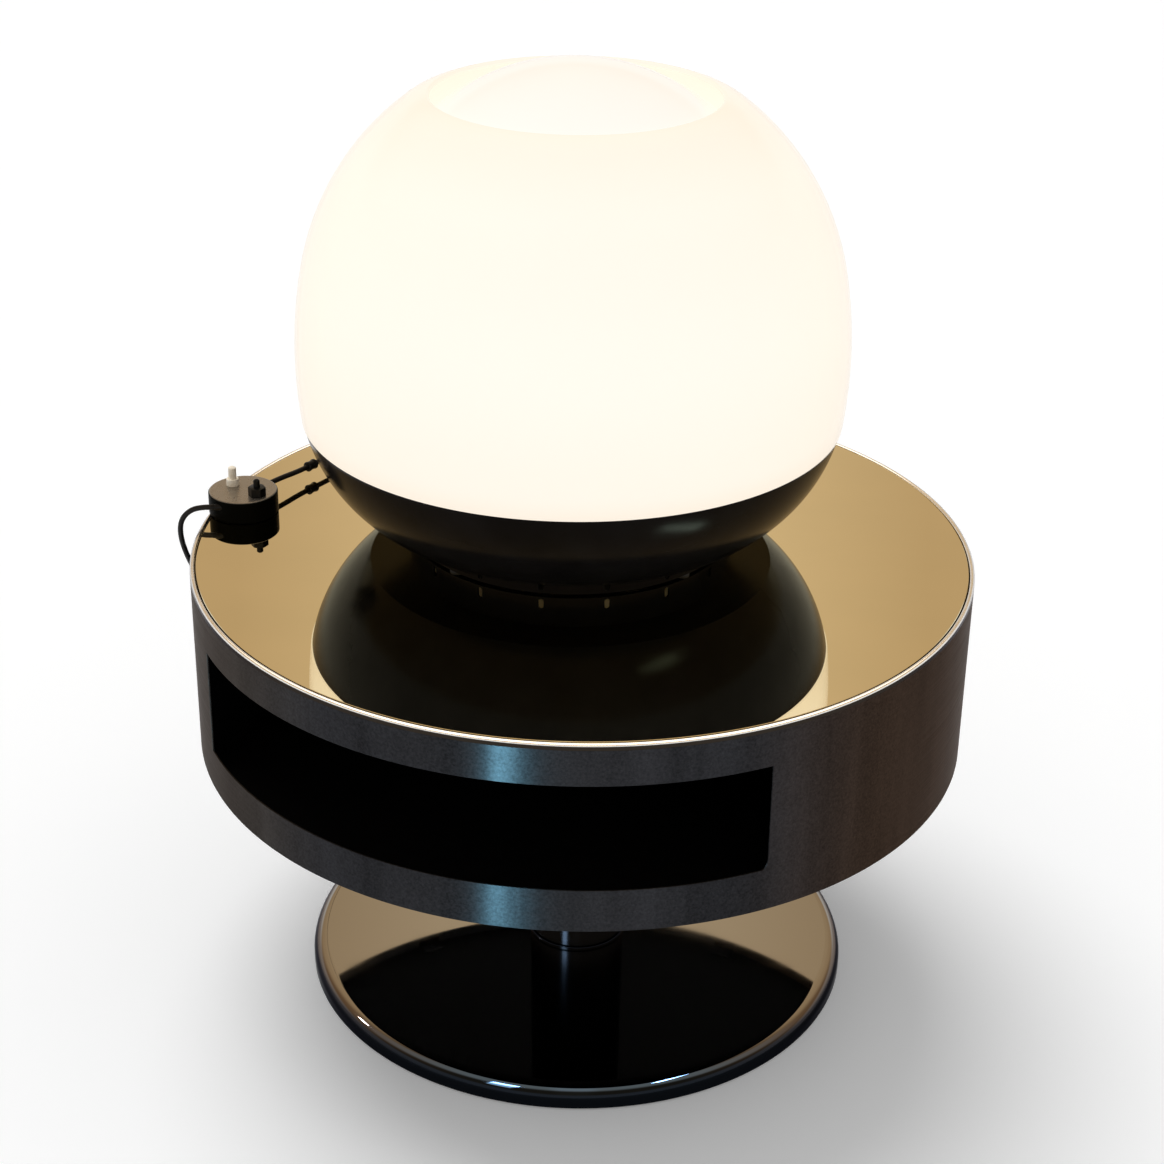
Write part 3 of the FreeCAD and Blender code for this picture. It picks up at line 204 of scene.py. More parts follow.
def from_lamp(degrees, radius, z):
    """A point `radius` out from the lamp's axis."""
    turn = math.radians(degrees)
    return Vector((LAMP[0] + radius * math.cos(turn), LAMP[1] + radius * math.sin(turn), z))


def heading(degrees):
    turn = math.radians(degrees)
    return Vector((math.cos(turn), math.sin(turn), 0))


PUCK = by_rim(PUCK_ANGLE, -PUCK_RIM_IN, CORD_Z)
LINK_WAY = heading(LINK_HEADING)
MAINS_WAY = heading(MAINS_HEADING)
LINK_EXIT = PUCK + LINK_WAY * PUCK_R
MAINS_EXIT = PUCK + heading(MAINS_SIDE) * PUCK_R


# Camera

def camera():
    data = bpy.data.cameras.new("camera")
    data.sensor_width = 36.0
    data.lens = EYE_LENS
    eye = bpy.data.objects.new("camera", data)
    eye.matrix_world = (Matrix.Translation(EYE) @ Matrix.Rotation(math.radians(EYE_TILT), 4, "X")
                        @ Matrix.Rotation(math.radians(EYE_ROLL), 4, "Z"))
    bpy.context.scene.collection.objects.link(eye)
    bpy.context.scene.camera = eye


camera()


# Cords

def cord_curve(name, points):
    """A cord whose centreline is one smooth spline steered by the points."""
    curve = bpy.data.curves.new(name, "CURVE")
    curve.dimensions = "3D"
    curve.bevel_depth = CORD_R
    curve.bevel_resolution = 6
    curve.resolution_u = 8
    curve.use_fill_caps = True
    spline = curve.splines.new("NURBS")
    spline.points.add(len(points) - 1)
    for place, point in zip(spline.points, points):
        place.co = (*point, 1)
    spline.order_u = 3
    spline.use_endpoint_u = True
    piece = bpy.data.objects.new(name, curve)
    bpy.context.scene.collection.objects.link(piece)
    return piece


def connector_ends():
    middle = PUCK + LINK_WAY * CONNECTOR_FROM_PUCK
    middle.z = CONNECTOR_Z
    return middle - LINK_WAY * (CONNECTOR_L / 2), middle + LINK_WAY * (CONNECTOR_L / 2)


def link_route():
    start = LINK_EXIT + LINK_WAY * SLEEVE_OUT
    end, _ = connector_ends()
    return [start, start + LINK_WAY * CORD_EXIT, end - LINK_WAY * CORD_EXIT, end]


def lamp_route():
    """Down to the mirror, round the left rear of the bowl and into the neck."""
    _, start = connector_ends()
    low = MIRROR_TOP - start.z
    lamp = Vector((*LAMP, MIRROR_TOP))
    level = MIRROR_TOP + INLET_H
    return [start, start + LINK_WAY * CORD_EXIT, start + Vector((0.0216, 0.0293, low + 0.0112)),
            start + Vector((0.0426, 0.0503, low + 0.0106)), start + Vector((0.0686, 0.0683, low + 0.0108)),
            lamp + Vector((-0.146, 0.1735, 0.012)), lamp + Vector((-0.118, 0.1715, 0.0138)),
            lamp + Vector((-0.097, 0.1605, 0.0154)), from_lamp(INLET_ANGLE, GLAND_END + CORD_EXIT, level),
            from_lamp(INLET_ANGLE, GLAND_END, level)]


def coil_point(turn):
    """Place on the coil after `turn` radians, going clockwise from the -X side."""
    inward = COIL_TURNS * 2 * math.pi
    rate = COIL_PITCH / (2 * math.pi)
    least = COIL_R - rate * inward
    rise = 0.0
    if turn <= inward:
        radius = COIL_R - rate * turn
    elif turn <= inward + math.pi:
        past = turn - inward
        radius = least - rate * past + rate * past ** 2 / math.pi
        rise = COIL_LAYER * (1 - math.cos(past)) / 2
    else:
        radius = least + rate * (turn - inward - math.pi)
        rise = COIL_LAYER
    angle = math.pi - turn
    middle = by_rim(COIL_ANGLE, COIL_RIM_OUT, CORD_R + rise)
    return middle + Vector((radius * math.cos(angle), radius * math.sin(angle), 0))


def coil_run():
    """The coil's points, with its straight ends."""
    count = int((2 * COIL_TURNS + 0.5) * COIL_POINTS)
    turns = [coil_point(i * 2 * math.pi / COIL_POINTS) for i in range(count + 1)]
    start = turns[0] - Vector((0, COIL_END, 0))
    end = turns[-1] - Vector((0, COIL_END, 0))
    return [start, *turns, end]


def mains_route():
    """Out of the switch, over the rim, down behind the drum and into the coil."""
    start = MAINS_EXIT + MAINS_WAY * SLEEVE_OUT
    coil = coil_run()
    return [start, start + MAINS_WAY * CORD_EXIT,
            by_rim(173.5, 0.0148, TABLE_H + 0.0077), by_rim(173.3, 0.0217, TABLE_H - 0.0028),
            by_rim(172.7, 0.0240, TABLE_H - 0.018), by_rim(171.4, 0.0236, TABLE_H - 0.038),
            by_rim(169.2, 0.0212, TABLE_H - 0.064), by_rim(165.8, 0.0188, TABLE_H - 0.096),
            by_rim(160.6, 0.0182, TABLE_H - 0.132), by_rim(153.8, 0.0194, TABLE_H - 0.172),
            by_rim(146.7, 0.0233, TABLE_H - 0.218), by_rim(140.1, 0.0291, 0.166),
            by_rim(134.3, 0.0368, 0.118), by_rim(129.3, 0.0466, 0.076),
            by_rim(125.2, 0.0598, 0.040), by_rim(122.2, 0.0731, 0.015),
            by_rim(120.7, 0.0813, 0.005), coil[0] - Vector((0, CORD_EXIT, 0)), *coil]


link_cord = cord_curve("switch_to_connector_cord", link_route())
lamp_cord = cord_curve("connector_to_lamp_cord", lamp_route())
mains_cord = cord_curve("mains_cord_and_coil", mains_route())


# Making pieces

def arc(centre, radius, start, end, count):
    """Points of an arc in a profile's plane, from one angle in degrees to another."""
    turns = [math.radians(start + (end - start) * i / count) for i in range(count + 1)]
    return [(centre[0] + radius * math.cos(a), centre[1] + radius * math.sin(a)) for a in turns]


def on_arc(centre, radius, degrees):
    return arc(centre, radius, degrees, degrees, 1)[0]


def angle_at(centre, radius, z):
    return math.degrees(math.asin((z - centre[1]) / radius))


def pick(*pieces):
    """Selects these pieces alone, the first as the active one."""
    bpy.ops.object.select_all(action="DESELECT")
    for piece in pieces:
        piece.select_set(True)
    bpy.context.view_layer.objects.active = pieces[0]


def outline(name, points):
    """One vertex drawn from each point to the next, left in edit mode with all of it selected."""
    bpy.ops.object.select_all(action="DESELECT")
    bpy.ops.mesh.primitive_plane_add(size=0.001, location=points[0])
    piece = bpy.context.object
    piece.name = piece.data.name = name
    bpy.ops.object.mode_set(mode="EDIT")
    bpy.ops.mesh.select_all(action="SELECT")
    bpy.ops.mesh.merge(type="CENTER")
    for here, there in zip(points, points[1:]):
        step = Vector(there) - Vector(here)
        bpy.ops.mesh.extrude_vertices_move(TRANSFORM_OT_translate={"value": step})
    bpy.ops.mesh.select_all(action="SELECT")
    return piece


def settle(piece, smooth=30.0):
    """Puts the piece's place in its mesh and smooths its round faces."""
    pick(piece)
    bpy.ops.object.transform_apply(location=True, rotation=True, scale=True)
    bpy.ops.object.shade_smooth_by_angle(angle=math.radians(smooth))
    return piece


def close_up():
    """Merges doubles and turns all faces outwards, then leaves edit mode."""
    bpy.ops.mesh.select_all(action="SELECT")
    bpy.ops.mesh.remove_doubles(threshold=SAME_PLACE)
    bpy.ops.mesh.normals_make_consistent(inside=False)
    bpy.ops.object.mode_set(mode="OBJECT")


def lathe(name, profile, axis=(0.0, 0.0), steps=192, closed=True, start=0.0):
    """A profile of (radius, height) places, spun round an upright axis."""
    turn = math.radians(start)
    points = [(axis[0] + r * math.cos(turn), axis[1] + r * math.sin(turn), z) for r, z in profile]
    if closed:
        points.append(points[0])
    piece = outline(name, points)
    bpy.ops.mesh.spin(steps=steps, angle=2 * math.pi, center=(*axis, 0), axis=(0, 0, 1))
    close_up()
    return settle(piece)


def aim(piece, place, way):
    """Moves a piece made at the origin to a place, with its upright axis turned along way."""
    turn = Vector((0, 0, 1)).rotation_difference(Vector(way)).to_matrix().to_4x4()
    piece.matrix_world = Matrix.Translation(place) @ turn
    bpy.context.view_layer.update()
    return settle(piece)


def joined(pieces):
    """The pieces as one, under the first one's name."""
    pick(*pieces)
    bpy.ops.object.join()
    return pieces[0]


def apply_modifier(piece, kind, name, **values):
    pick(piece)
    modifier = piece.modifiers.new(name, kind)
    for key, value in values.items():
        setattr(modifier, key, value)
    bpy.ops.object.modifier_apply(modifier=name)


def soften(piece, width, segments=2, angle=40.0):
    """Rounds the sharp edges."""
    apply_modifier(piece, "BEVEL", "edges", width=width, segments=segments, limit_method="ANGLE",
                   angle_limit=math.radians(angle), harden_normals=False)
    return settle(piece)


def cut(piece, cutter):
    apply_modifier(piece, "BOOLEAN", "cut", operation="DIFFERENCE", solver="EXACT", object=cutter)
    bpy.data.objects.remove(cutter)
    return settle(piece)


def copies_round(piece, axis, count, first=0.0):
    """Copies of the piece, turned round an upright axis and joined into one."""
    made = []
    for i in range(count):
        turn = math.radians(first + 360.0 * i / count)
        copy = bpy.data.objects.new(piece.name, piece.data.copy())
        bpy.context.scene.collection.objects.link(copy)
        copy.matrix_world = (Matrix.Translation((*axis, 0)) @ Matrix.Rotation(turn, 4, "Z")
                             @ Matrix.Translation((-axis[0], -axis[1], 0)))
        made.append(copy)
    bpy.data.objects.remove(piece)
    return settle(joined(made))


def rod(name, start, end, radius, vertices=48):
    start = Vector(start)
    end = Vector(end)
    bpy.ops.object.select_all(action="DESELECT")
    bpy.ops.mesh.primitive_cylinder_add(vertices=vertices, radius=radius, depth=(end - start).length)
    piece = bpy.context.object
    piece.name = piece.data.name = name
    return aim(piece, (start + end) / 2, end - start)


# Materials

def material(name):
    """A new material, with its nodes, its links and its shader."""
    made = bpy.data.materials.new(name)
    made.use_nodes = True
    tree = made.node_tree
    return made, tree, tree.nodes["Principled BSDF"]


def give(node, values):
    """Sets inputs that no other node drives."""
    for key, value in values.items():
        node.inputs[key].default_value = value


def object_coordinates(tree, scale=(1, 1, 1)):
    place = tree.nodes.new("ShaderNodeTexCoord")
    mapping = tree.nodes.new("ShaderNodeMapping")
    give(mapping, {"Scale": scale})
    tree.links.new(place.outputs["Object"], mapping.inputs["Vector"])
    return mapping.outputs["Vector"]


def noise(tree, vector, scale, detail=3.0, roughness=0.55):
    node = tree.nodes.new("ShaderNodeTexNoise")
    give(node, {"Scale": scale, "Detail": detail, "Roughness": roughness})
    tree.links.new(vector, node.inputs["Vector"])
    return node.outputs["Fac"]


def ranged(tree, value, low, high, from_low=0.3, from_high=0.7):
    """The value, moved from one range to another and held inside it."""
    node = tree.nodes.new("ShaderNodeMapRange")
    give(node, {"From Min": from_low, "From Max": from_high, "To Min": low, "To Max": high})
    tree.links.new(value, node.inputs["Value"])
    return node.outputs["Result"]


def along(tree, axis):
    """One of the object's own coordinates."""
    split = tree.nodes.new("ShaderNodeSeparateXYZ")
    tree.links.new(object_coordinates(tree), split.inputs["Vector"])
    return split.outputs[axis]


def ramp(tree, value, stops):
    """Colours at places from 0 to 1."""
    node = tree.nodes.new("ShaderNodeValToRGB")
    node.color_ramp.interpolation = "EASE"
    elements = node.color_ramp.elements
    elements.remove(elements[1])
    elements[0].position = stops[0][0]
    elements[0].color = (*stops[0][1], 1)
    for at, colour in stops[1:]:
        elements.new(at).color = (*colour, 1)
    tree.links.new(value, node.inputs["Fac"])
    return node.outputs["Color"]


def blended(tree, value, first, second):
    """From the first colour to the second, each a colour or another node's output."""
    node = tree.nodes.new("ShaderNodeMix")
    node.data_type = "RGBA"
    for socket, colour in (("A", first), ("B", second)):
        if isinstance(colour, bpy.types.NodeSocket):
            tree.links.new(colour, node.inputs[socket])
        else:
            node.inputs[socket].default_value = (*colour, 1)
    tree.links.new(value, node.inputs["Factor"])
    return node.outputs["Result"]


def calculated(tree, operation, *values):
    node = tree.nodes.new("ShaderNodeMath")
    node.operation = operation
    for i, value in enumerate(values):
        tree.links.new(value, node.inputs[i])
    return node.outputs["Value"]


def bump(tree, shader, height, strength, distance):
    node = tree.nodes.new("ShaderNodeBump")
    give(node, {"Strength": strength, "Distance": distance})
    tree.links.new(height, node.inputs["Height"])
    tree.links.new(node.outputs["Normal"], shader.inputs["Normal"])


def plain_finish(name, light, dark, rough, scale, metallic=0.0, relief=0.0, coat=0.0, specular=0.5):
    """A finish with cloudy colour, roughness between two values and, where asked, a fine relief."""
    made, tree, shader = material(name)
    vector = object_coordinates(tree)
    cloud = noise(tree, vector, scale)
    tree.links.new(blended(tree, ranged(tree, cloud, 0, 1), dark, light), shader.inputs["Base Color"])
    fine = noise(tree, vector, scale * 6, 4.0)
    tree.links.new(ranged(tree, fine, *rough), shader.inputs["Roughness"])
    give(shader, {"Metallic": metallic, "Coat Weight": coat, "Specular IOR Level": specular})
    if relief:
        bump(tree, shader, fine, 0.4, relief)
    return made


def opal_glass(name, colour, glow, low, high):
    """White glass lit from inside, a little weaker and warmer at both ends."""
    made, tree, shader = material(name)
    height = ranged(tree, along(tree, "Z"), 0, 1, low, high)
    stops = []
    for at, share in ((0.0, 0.93), (0.12, 0.985), (0.45, 1.0), (0.8, 0.985), (1.0, 0.95)):
        stops.append((at, (glow[0] * share, glow[1] * share ** 1.5, glow[2] * share ** 2.2)))
    tree.links.new(ramp(tree, height, stops), shader.inputs["Emission Color"])
    vector = object_coordinates(tree)
    cloud = noise(tree, vector, 9.0)
    tree.links.new(blended(tree, ranged(tree, cloud, 0, 1), [c * 0.96 for c in colour], colour),
                   shader.inputs["Base Color"])
    tree.links.new(ranged(tree, noise(tree, vector, 60.0), 0.16, 0.24), shader.inputs["Roughness"])
    give(shader, {"Emission Strength": 1.0, "Specular IOR Level": 0.0, "Coat Weight": 1.0,
                  "Coat IOR": 1.15, "Coat Roughness": 0.12, "Coat Tint": (1.0, 0.97, 0.93, 1)})
    return made


def brushed_steel_painted_sides():
    """Satin steel, brushed along the band, so that lamps stretch into upright streaks, with painted side
    tones.
    """
    made, tree, shader = material("brushed_steel_painted_sides")
    grain = noise(tree, object_coordinates(tree, (1, 1, 90)), 14.0, 5.0)
    streaks = noise(tree, object_coordinates(tree, (1, 1, 0.1)), 22.0, 4.0)
    # Painted reflection of the room across the band: lighter at the left, grey, then brown at the right.
    left = (0.055, 0.052, 0.050)
    grey = (0.035, 0.037, 0.043)
    brown = (0.046, 0.031, 0.023)
    side = ramp(tree, ranged(tree, along(tree, "X"), 0, 1, -DRUM_R, DRUM_R),
                [(0.0, left), (0.08, left), (0.22, grey), (0.66, grey), (0.86, brown), (1.0, brown)])
    speckle = noise(tree, object_coordinates(tree), 420.0, 3.0, 0.7)
    wear = ranged(tree, calculated(tree, "ADD", streaks, speckle), 0, 1, 0.65, 1.35)
    shade = tree.nodes.new("ShaderNodeMix")
    shade.data_type = "RGBA"
    shade.blend_type = "MULTIPLY"
    give(shade, {"Factor": 1.0})
    tree.links.new(side, shade.inputs["A"])
    tree.links.new(blended(tree, wear, (0.45, 0.45, 0.45), (1.5, 1.5, 1.5)), shade.inputs["B"])
    tree.links.new(shade.outputs["Result"], shader.inputs["Base Color"])
    tree.links.new(ranged(tree, grain, 0.32, 0.42), shader.inputs["Roughness"])
    give(shader, {"Metallic": 1.0, "Specular Tint": (0.60, 0.56, 0.54, 1), "Anisotropic": 1.0,
                  "Anisotropic Rotation": 0.25})
    tangent = tree.nodes.new("ShaderNodeTangent")
    tangent.direction_type = "RADIAL"
    tangent.axis = "Z"
    tree.links.new(tangent.outputs["Tangent"], shader.inputs["Tangent"])
    bump(tree, shader, grain, 0.12, 0.00005)
    return made


def painted_light_banded(tree, painted_light_bands):
    """Painted light and shade as tones at heights, given from the top down."""
    high, low = painted_light_bands[0][0], painted_light_bands[-1][0]
    height = ranged(tree, along(tree, "Z"), 0, 1, low, high)
    return ramp(tree, height, [((z - low) / (high - low), colour) for z, colour in reversed(painted_light_bands)])


def polished(name, painted_light_bands, rough=(0.02, 0.06), sides=None):
    """Plated metal, wiped, with painted reflection and shade as tones at heights, and with others at its
    sides where they are given.
    """
    made, tree, shader = material(name)
    painted_light_tone = painted_light_banded(tree, painted_light_bands)
    if sides:
        painted_light_tone = blended(tree, ranged(tree, along(tree, "Y"), 0, 1, *BASE_FRONT), painted_light_tone, painted_light_banded(tree, sides))
    tree.links.new(painted_light_tone, shader.inputs["Base Color"])
    smear = noise(tree, object_coordinates(tree, (1, 3, 1)), 12.0, 4.0)
    tree.links.new(ranged(tree, smear, *rough), shader.inputs["Roughness"])
    give(shader, {"Metallic": 1.0, "Specular Tint": (0.55, 0.55, 0.58, 1)})
    return made


def mirror_glass():
    """Silvered glass with a warm tint, faintly clouded where it was wiped."""
    made, tree, shader = material("mirror_glass")
    vector = object_coordinates(tree, (1, 1.6, 1))
    cloud = noise(tree, vector, 5.0, 3.0)
    tree.links.new(blended(tree, ranged(tree, cloud, 0, 1), (0.82, 0.74, 0.51), (0.86, 0.77, 0.53)),
                   shader.inputs["Base Color"])
    tree.links.new(ranged(tree, noise(tree, vector, 30.0, 5.0), 0.0, 0.03, 0.45, 0.8),
                   shader.inputs["Roughness"])
    give(shader, {"Metallic": 1.0})
    return made


def lacquer():
    """Deep gloss black with a trace of orange peel."""
    made, tree, shader = material("black_lacquer")
    vector = object_coordinates(tree)
    tree.links.new(blended(tree, ranged(tree, noise(tree, vector, 20.0), 0, 1),
                           (0.0045, 0.0045, 0.005), (0.008, 0.008, 0.009)), shader.inputs["Base Color"])
    tree.links.new(ranged(tree, noise(tree, vector, 45.0, 4.0), 0.14, 0.22), shader.inputs["Roughness"])
    give(shader, {"Specular IOR Level": 0.05})
    bump(tree, shader, noise(tree, vector, 160.0, 1.0), 0.05, 0.0002)
    return made


def switch_painted_sheen_finish():
    """Black moulding with a painted brown sheen on its top, standing for reflected light."""
    made, tree, shader = material("switch_moulding_painted_sheen")
    vector = object_coordinates(tree)
    # The top's brown metallic sheen is a painted reflection; the sides stay black.
    top = ranged(tree, along(tree, "Z"), 0, 1, PUCK_TOP - 0.0009, PUCK_TOP - 0.0001)
    tree.links.new(blended(tree, top, (0.003, 0.003, 0.002), (0.33, 0.29, 0.24)),
                   shader.inputs["Base Color"])
    tree.links.new(ranged(tree, top, 0.0, 0.85, 0, 1), shader.inputs["Metallic"])
    tree.links.new(ranged(tree, noise(tree, vector, 200.0), 0.24, 0.34), shader.inputs["Roughness"])
    give(shader, {"Specular IOR Level": 0.008})
    bump(tree, shader, noise(tree, vector, 500.0, 2.0), 0.1, 0.0001)
    return made


def bulb_finish():
    made, tree, shader = material("frosted_bulb")
    vector = object_coordinates(tree)
    tree.links.new(blended(tree, ranged(tree, noise(tree, vector, 30.0), 0, 1),
                           (1.0, 0.86, 0.62), (1.0, 0.92, 0.74)), shader.inputs["Emission Color"])
    give(shader, {"Emission Strength": 2.4, "Base Color": (0.9, 0.86, 0.78, 1), "Roughness": 0.45})
    return made


def cord_finish():
    made, tree, shader = material("cord_sheath")
    vector = object_coordinates(tree)
    tree.links.new(blended(tree, ranged(tree, noise(tree, vector, 90.0), 0, 1),
                           (0.006, 0.005, 0.0045), (0.012, 0.010, 0.009)), shader.inputs["Base Color"])
    tree.links.new(ranged(tree, noise(tree, vector, 400.0), 0.38, 0.52), shader.inputs["Roughness"])
    give(shader, {"Specular IOR Level": 0.2})
    bump(tree, shader, noise(tree, vector, 900.0, 2.0), 0.15, 0.0001)
    return made


finishes = {
    "steel": brushed_steel_painted_sides(),
    "mirror": mirror_glass(),
    "black_lacquer": lacquer(),
    "opal": opal_glass("opal_glass", (0.25, 0.235, 0.21), (0.90, 0.865, 0.815), LIP_LOW,
                       GLASS_GLOW_TO),
    "opal_bright": opal_glass("inner_opal_glass", (0.25, 0.245, 0.235), (0.87, 0.87, 0.87), LIP_LOW,
                              GLOBE_GLOW_TO),
    # Painted reflections: bright top, a dark front rim with a painted blue window line, tan sides fading
    # dark.
    "chrome": polished("base_chrome_painted_reflections", [
        (BASE_TOP, (0.44, 0.42, 0.385)), (BASE_TOP - 0.0001, (0.42, 0.40, 0.37)),
        (BASE_TOP - 0.0020, (0.020, 0.022, 0.028)), (BASE_TOP - 0.0027, (0.12, 0.20, 0.36)),
        (BASE_TOP - 0.0038, (0.12, 0.20, 0.36)), (BASE_TOP - 0.0052, (0.012, 0.015, 0.020))], sides=[
        (BASE_TOP, (0.44, 0.42, 0.385)), (BASE_TOP - 0.0008, (0.40, 0.37, 0.33)),
        (BASE_TOP - 0.0030, (0.17, 0.135, 0.11)), (BASE_TOP - 0.0065, (0.030, 0.028, 0.030)),
        (BASE_TOP - 0.0100, (0.012, 0.013, 0.016))]),
    "bulb_glass": bulb_finish(),
    "cord": cord_finish(),
    "plain_steel": plain_finish("plated_steel", (0.50, 0.50, 0.51), (0.38, 0.38, 0.39), (0.3, 0.45), 60,
                                1.0),
    "iron": plain_finish("cast_iron", (0.14, 0.14, 0.145), (0.08, 0.08, 0.085), (0.6, 0.8), 50, 0.6,
                         0.0005),
    "pad": plain_finish("rubber_pad", (0.05, 0.05, 0.05), (0.03, 0.03, 0.03), (0.75, 0.9), 90, 0.0, 0.0003),
    "black_board": plain_finish("black_faced_board", (0.0024, 0.0024, 0.0026), (0.0014, 0.0014, 0.0016),
                                (0.55, 0.7), 70, 0.0, 0.0001, specular=0.03),
    "white_paint": plain_finish("white_enamel", (0.84, 0.83, 0.80), (0.78, 0.77, 0.73), (0.3, 0.4), 25, 0.0,
                                0.0001),
    "brass": plain_finish("brass", (0.78, 0.58, 0.27), (0.60, 0.43, 0.19), (0.2, 0.35), 80, 1.0),
    "ceramic": plain_finish("porcelain", (0.86, 0.85, 0.81), (0.80, 0.78, 0.73), (0.12, 0.2), 40, 0.0, 0.0,
                            0.5),
    "black_plastic": plain_finish("black_moulding", (0.007, 0.0065, 0.006), (0.004, 0.004, 0.004),
                                  (0.3, 0.42), 120, 0.0, 0.00015, specular=0.15),
    "cream_plastic": plain_finish("cream_moulding", (0.98, 0.90, 0.76), (0.90, 0.78, 0.60),
                                  (0.25, 0.38), 150, 0.0, 0.00005),
    "grey_plastic": plain_finish("grey_moulding", (0.46, 0.46, 0.46), (0.38, 0.38, 0.38), (0.4, 0.5), 80),
}
# Chrome tinted near black and bluish, darker still at the foot: painted reflection and painted shade.
painted_dark_chrome = polished("column_chrome_painted_shade", [
    (COLUMN_HIGH, (0.020, 0.024, 0.034)), (COLUMN_LOW + 0.01, (0.016, 0.019, 0.028)),
    (COLUMN_LOW, (0.009, 0.011, 0.016))], (0.12, 0.2))
# Bright only along the crown and dark brown below it: a painted highlight and painted shade.
trim_metal_painted_highlight = polished("trim_metal_painted_highlight", [
    (TABLE_H - 0.0016, (0.95, 0.92, 0.87)), (TABLE_H - 0.0024, (0.035, 0.028, 0.022))], (0.16, 0.26))
switch_painted_sheen = switch_painted_sheen_finish()

slots = {row["node"]: row["material_slot"] for row in frame["record"]["subparts"]}
for node, piece in nodes.items():
    for place in piece.material_slots:
        place.material = finishes[slots[node]]


def dress(piece, body, replaced, finish=None):
    """Gives a finished piece its material and its body, and hides the solids that it stands for."""
    slot = slots[replaced[0]]
    piece.data.materials.clear()
    piece.data.materials.append(finish or finishes[slot])
    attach(piece, body)
    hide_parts(*replaced)
    return piece


# Table

def drum_band():
    inner = DRUM_R - BAND_T
    band = lathe("drum_band_sheet", [
        (DRUM_R, DRUM_LOW), (DRUM_R, BAND_TOP), (inner, BAND_TOP), (inner, DRUM_LOW)], steps=360, start=0.5)
    return soften(cut(band, window_cutter()), 0.0003)


def window_cutter():
    """A block bent round the drum, wider than the band's sheet, its lower right corner rounded."""
    near = DRUM_R - 0.03
    far = DRUM_R + 0.03
    first = math.radians(WINDOW_FROM - 90)
    span = math.radians(WINDOW_TO - WINDOW_FROM)
    ends = [(near, WINDOW_LOW), (far, WINDOW_LOW), (far, WINDOW_HIGH), (near, WINDOW_HIGH)]
    points = [(r * math.cos(first), r * math.sin(first), z) for r, z in ends]
    cutter = outline("window_cutter", [*points, points[0]])
    bpy.ops.mesh.remove_doubles(threshold=SAME_PLACE)
    bpy.ops.mesh.edge_face_add()
    bpy.ops.mesh.spin(steps=92, angle=-span, center=(0, 0, 0), axis=(0, 0, 1))
    bpy.ops.mesh.select_all(action="DESELECT")
    last = first + span
    way = Vector((math.cos(last), math.sin(last), 0))
    slack = 1e-4
    mesh = bmesh.from_edit_mesh(cutter.data)
    for edge in mesh.edges:
        ends = [cutter.matrix_world @ v.co for v in edge.verts]
        if all(abs(p.z - WINDOW_LOW) < slack and (p - way * p.dot(way)).xy.length < slack for p in ends):
            edge.select_set(True)
    bmesh.update_edit_mesh(cutter.data)
    bpy.ops.mesh.bevel(offset=WINDOW_ROUND, segments=10)
    close_up()
    return settle(cutter)


def top_mirror():
    return lathe("mirror_top", [
        (0, MIRROR_LOW), (MIRROR_R, MIRROR_LOW), (MIRROR_R, MIRROR_TOP - MIRROR_ARRIS),
        (MIRROR_R - MIRROR_ARRIS, MIRROR_TOP), (0, MIRROR_TOP)], closed=False)


def trim_ring():
    inner = RING_R - RING_W
    half = RING_W / 2
    middle = (inner + half, TABLE_H - half)
    return lathe("trim_ring_rounded", [
        (inner, MIRROR_LOW), (inner + 2 * half, MIRROR_LOW), *arc(middle, half, 0, 180, 14)], steps=360)


def base_cover():
    middle = (BASE_R - BASE_ROUND, BASE_TOP - BASE_ROUND)
    return lathe("base_cover_plated", [
        (ROD_HOLE_R, BASE_TOP), *arc(middle, BASE_ROUND, 90, 0, 20), (BASE_R, BASE_LOW),
        (BASE_R - SKIN_T, BASE_LOW), *arc(middle, BASE_ROUND - SKIN_T, 0, 90, 14),
        (ROD_HOLE_R, BASE_TOP - SKIN_T)], steps=256)


def column():
    inner = COLUMN_R - COLUMN_WALL
    return lathe("column_plated", [
        (COLUMN_R, COLUMN_LOW), (COLUMN_R, COLUMN_HIGH), (inner, COLUMN_HIGH), (inner, COLUMN_LOW)],
        steps=128)


def column_collar():
    inner = COLUMN_R + COLLAR_GAP
    middle = (COLLAR_R - COLLAR_ROUND, COLLAR_HIGH - COLLAR_ROUND)
    return lathe("column_foot_ring", [
        (inner, COLLAR_LOW), (COLLAR_R, COLLAR_LOW), *arc(middle, COLLAR_ROUND, 0, 90, 6),
        (inner, COLLAR_HIGH)], steps=128)


band = dress(drum_band(), TABLE, ["drum_band"])
mirror = dress(top_mirror(), TABLE, ["top_mirror"])
ring = dress(trim_ring(), TABLE, ["trim_ring"], trim_metal_painted_highlight)
base_disc = dress(base_cover(), TABLE, ["base_cover"])
tube = dress(column(), TABLE, ["column"], painted_dark_chrome)
foot_ring = dress(column_collar(), TABLE, ["column_collar"], painted_dark_chrome)


# Lamp

def neck_ring():
    inner = NECK_R - SHEET_T
    flange = NECK_R - NECK_FLANGE
    ring = lathe("neck_ring_slotted", [
        (flange, NECK_LOW), (NECK_R, NECK_LOW), (NECK_R, NECK_HIGH), (flange, NECK_HIGH),
        (flange, NECK_HIGH - SHEET_T), (inner, NECK_HIGH - SHEET_T), (inner, NECK_LOW + SHEET_T),
        (flange, NECK_LOW + SHEET_T)], LAMP, steps=216)
    cut(ring, vent_slots())
    level = MIRROR_TOP + INLET_H
    cut(ring, rod("inlet_cutter", from_lamp(INLET_ANGLE, NECK_R - 0.01, level),
                  from_lamp(INLET_ANGLE, NECK_R + 0.01, level), GLAND_R + 0.00005))
    return soften(ring, 0.00025)


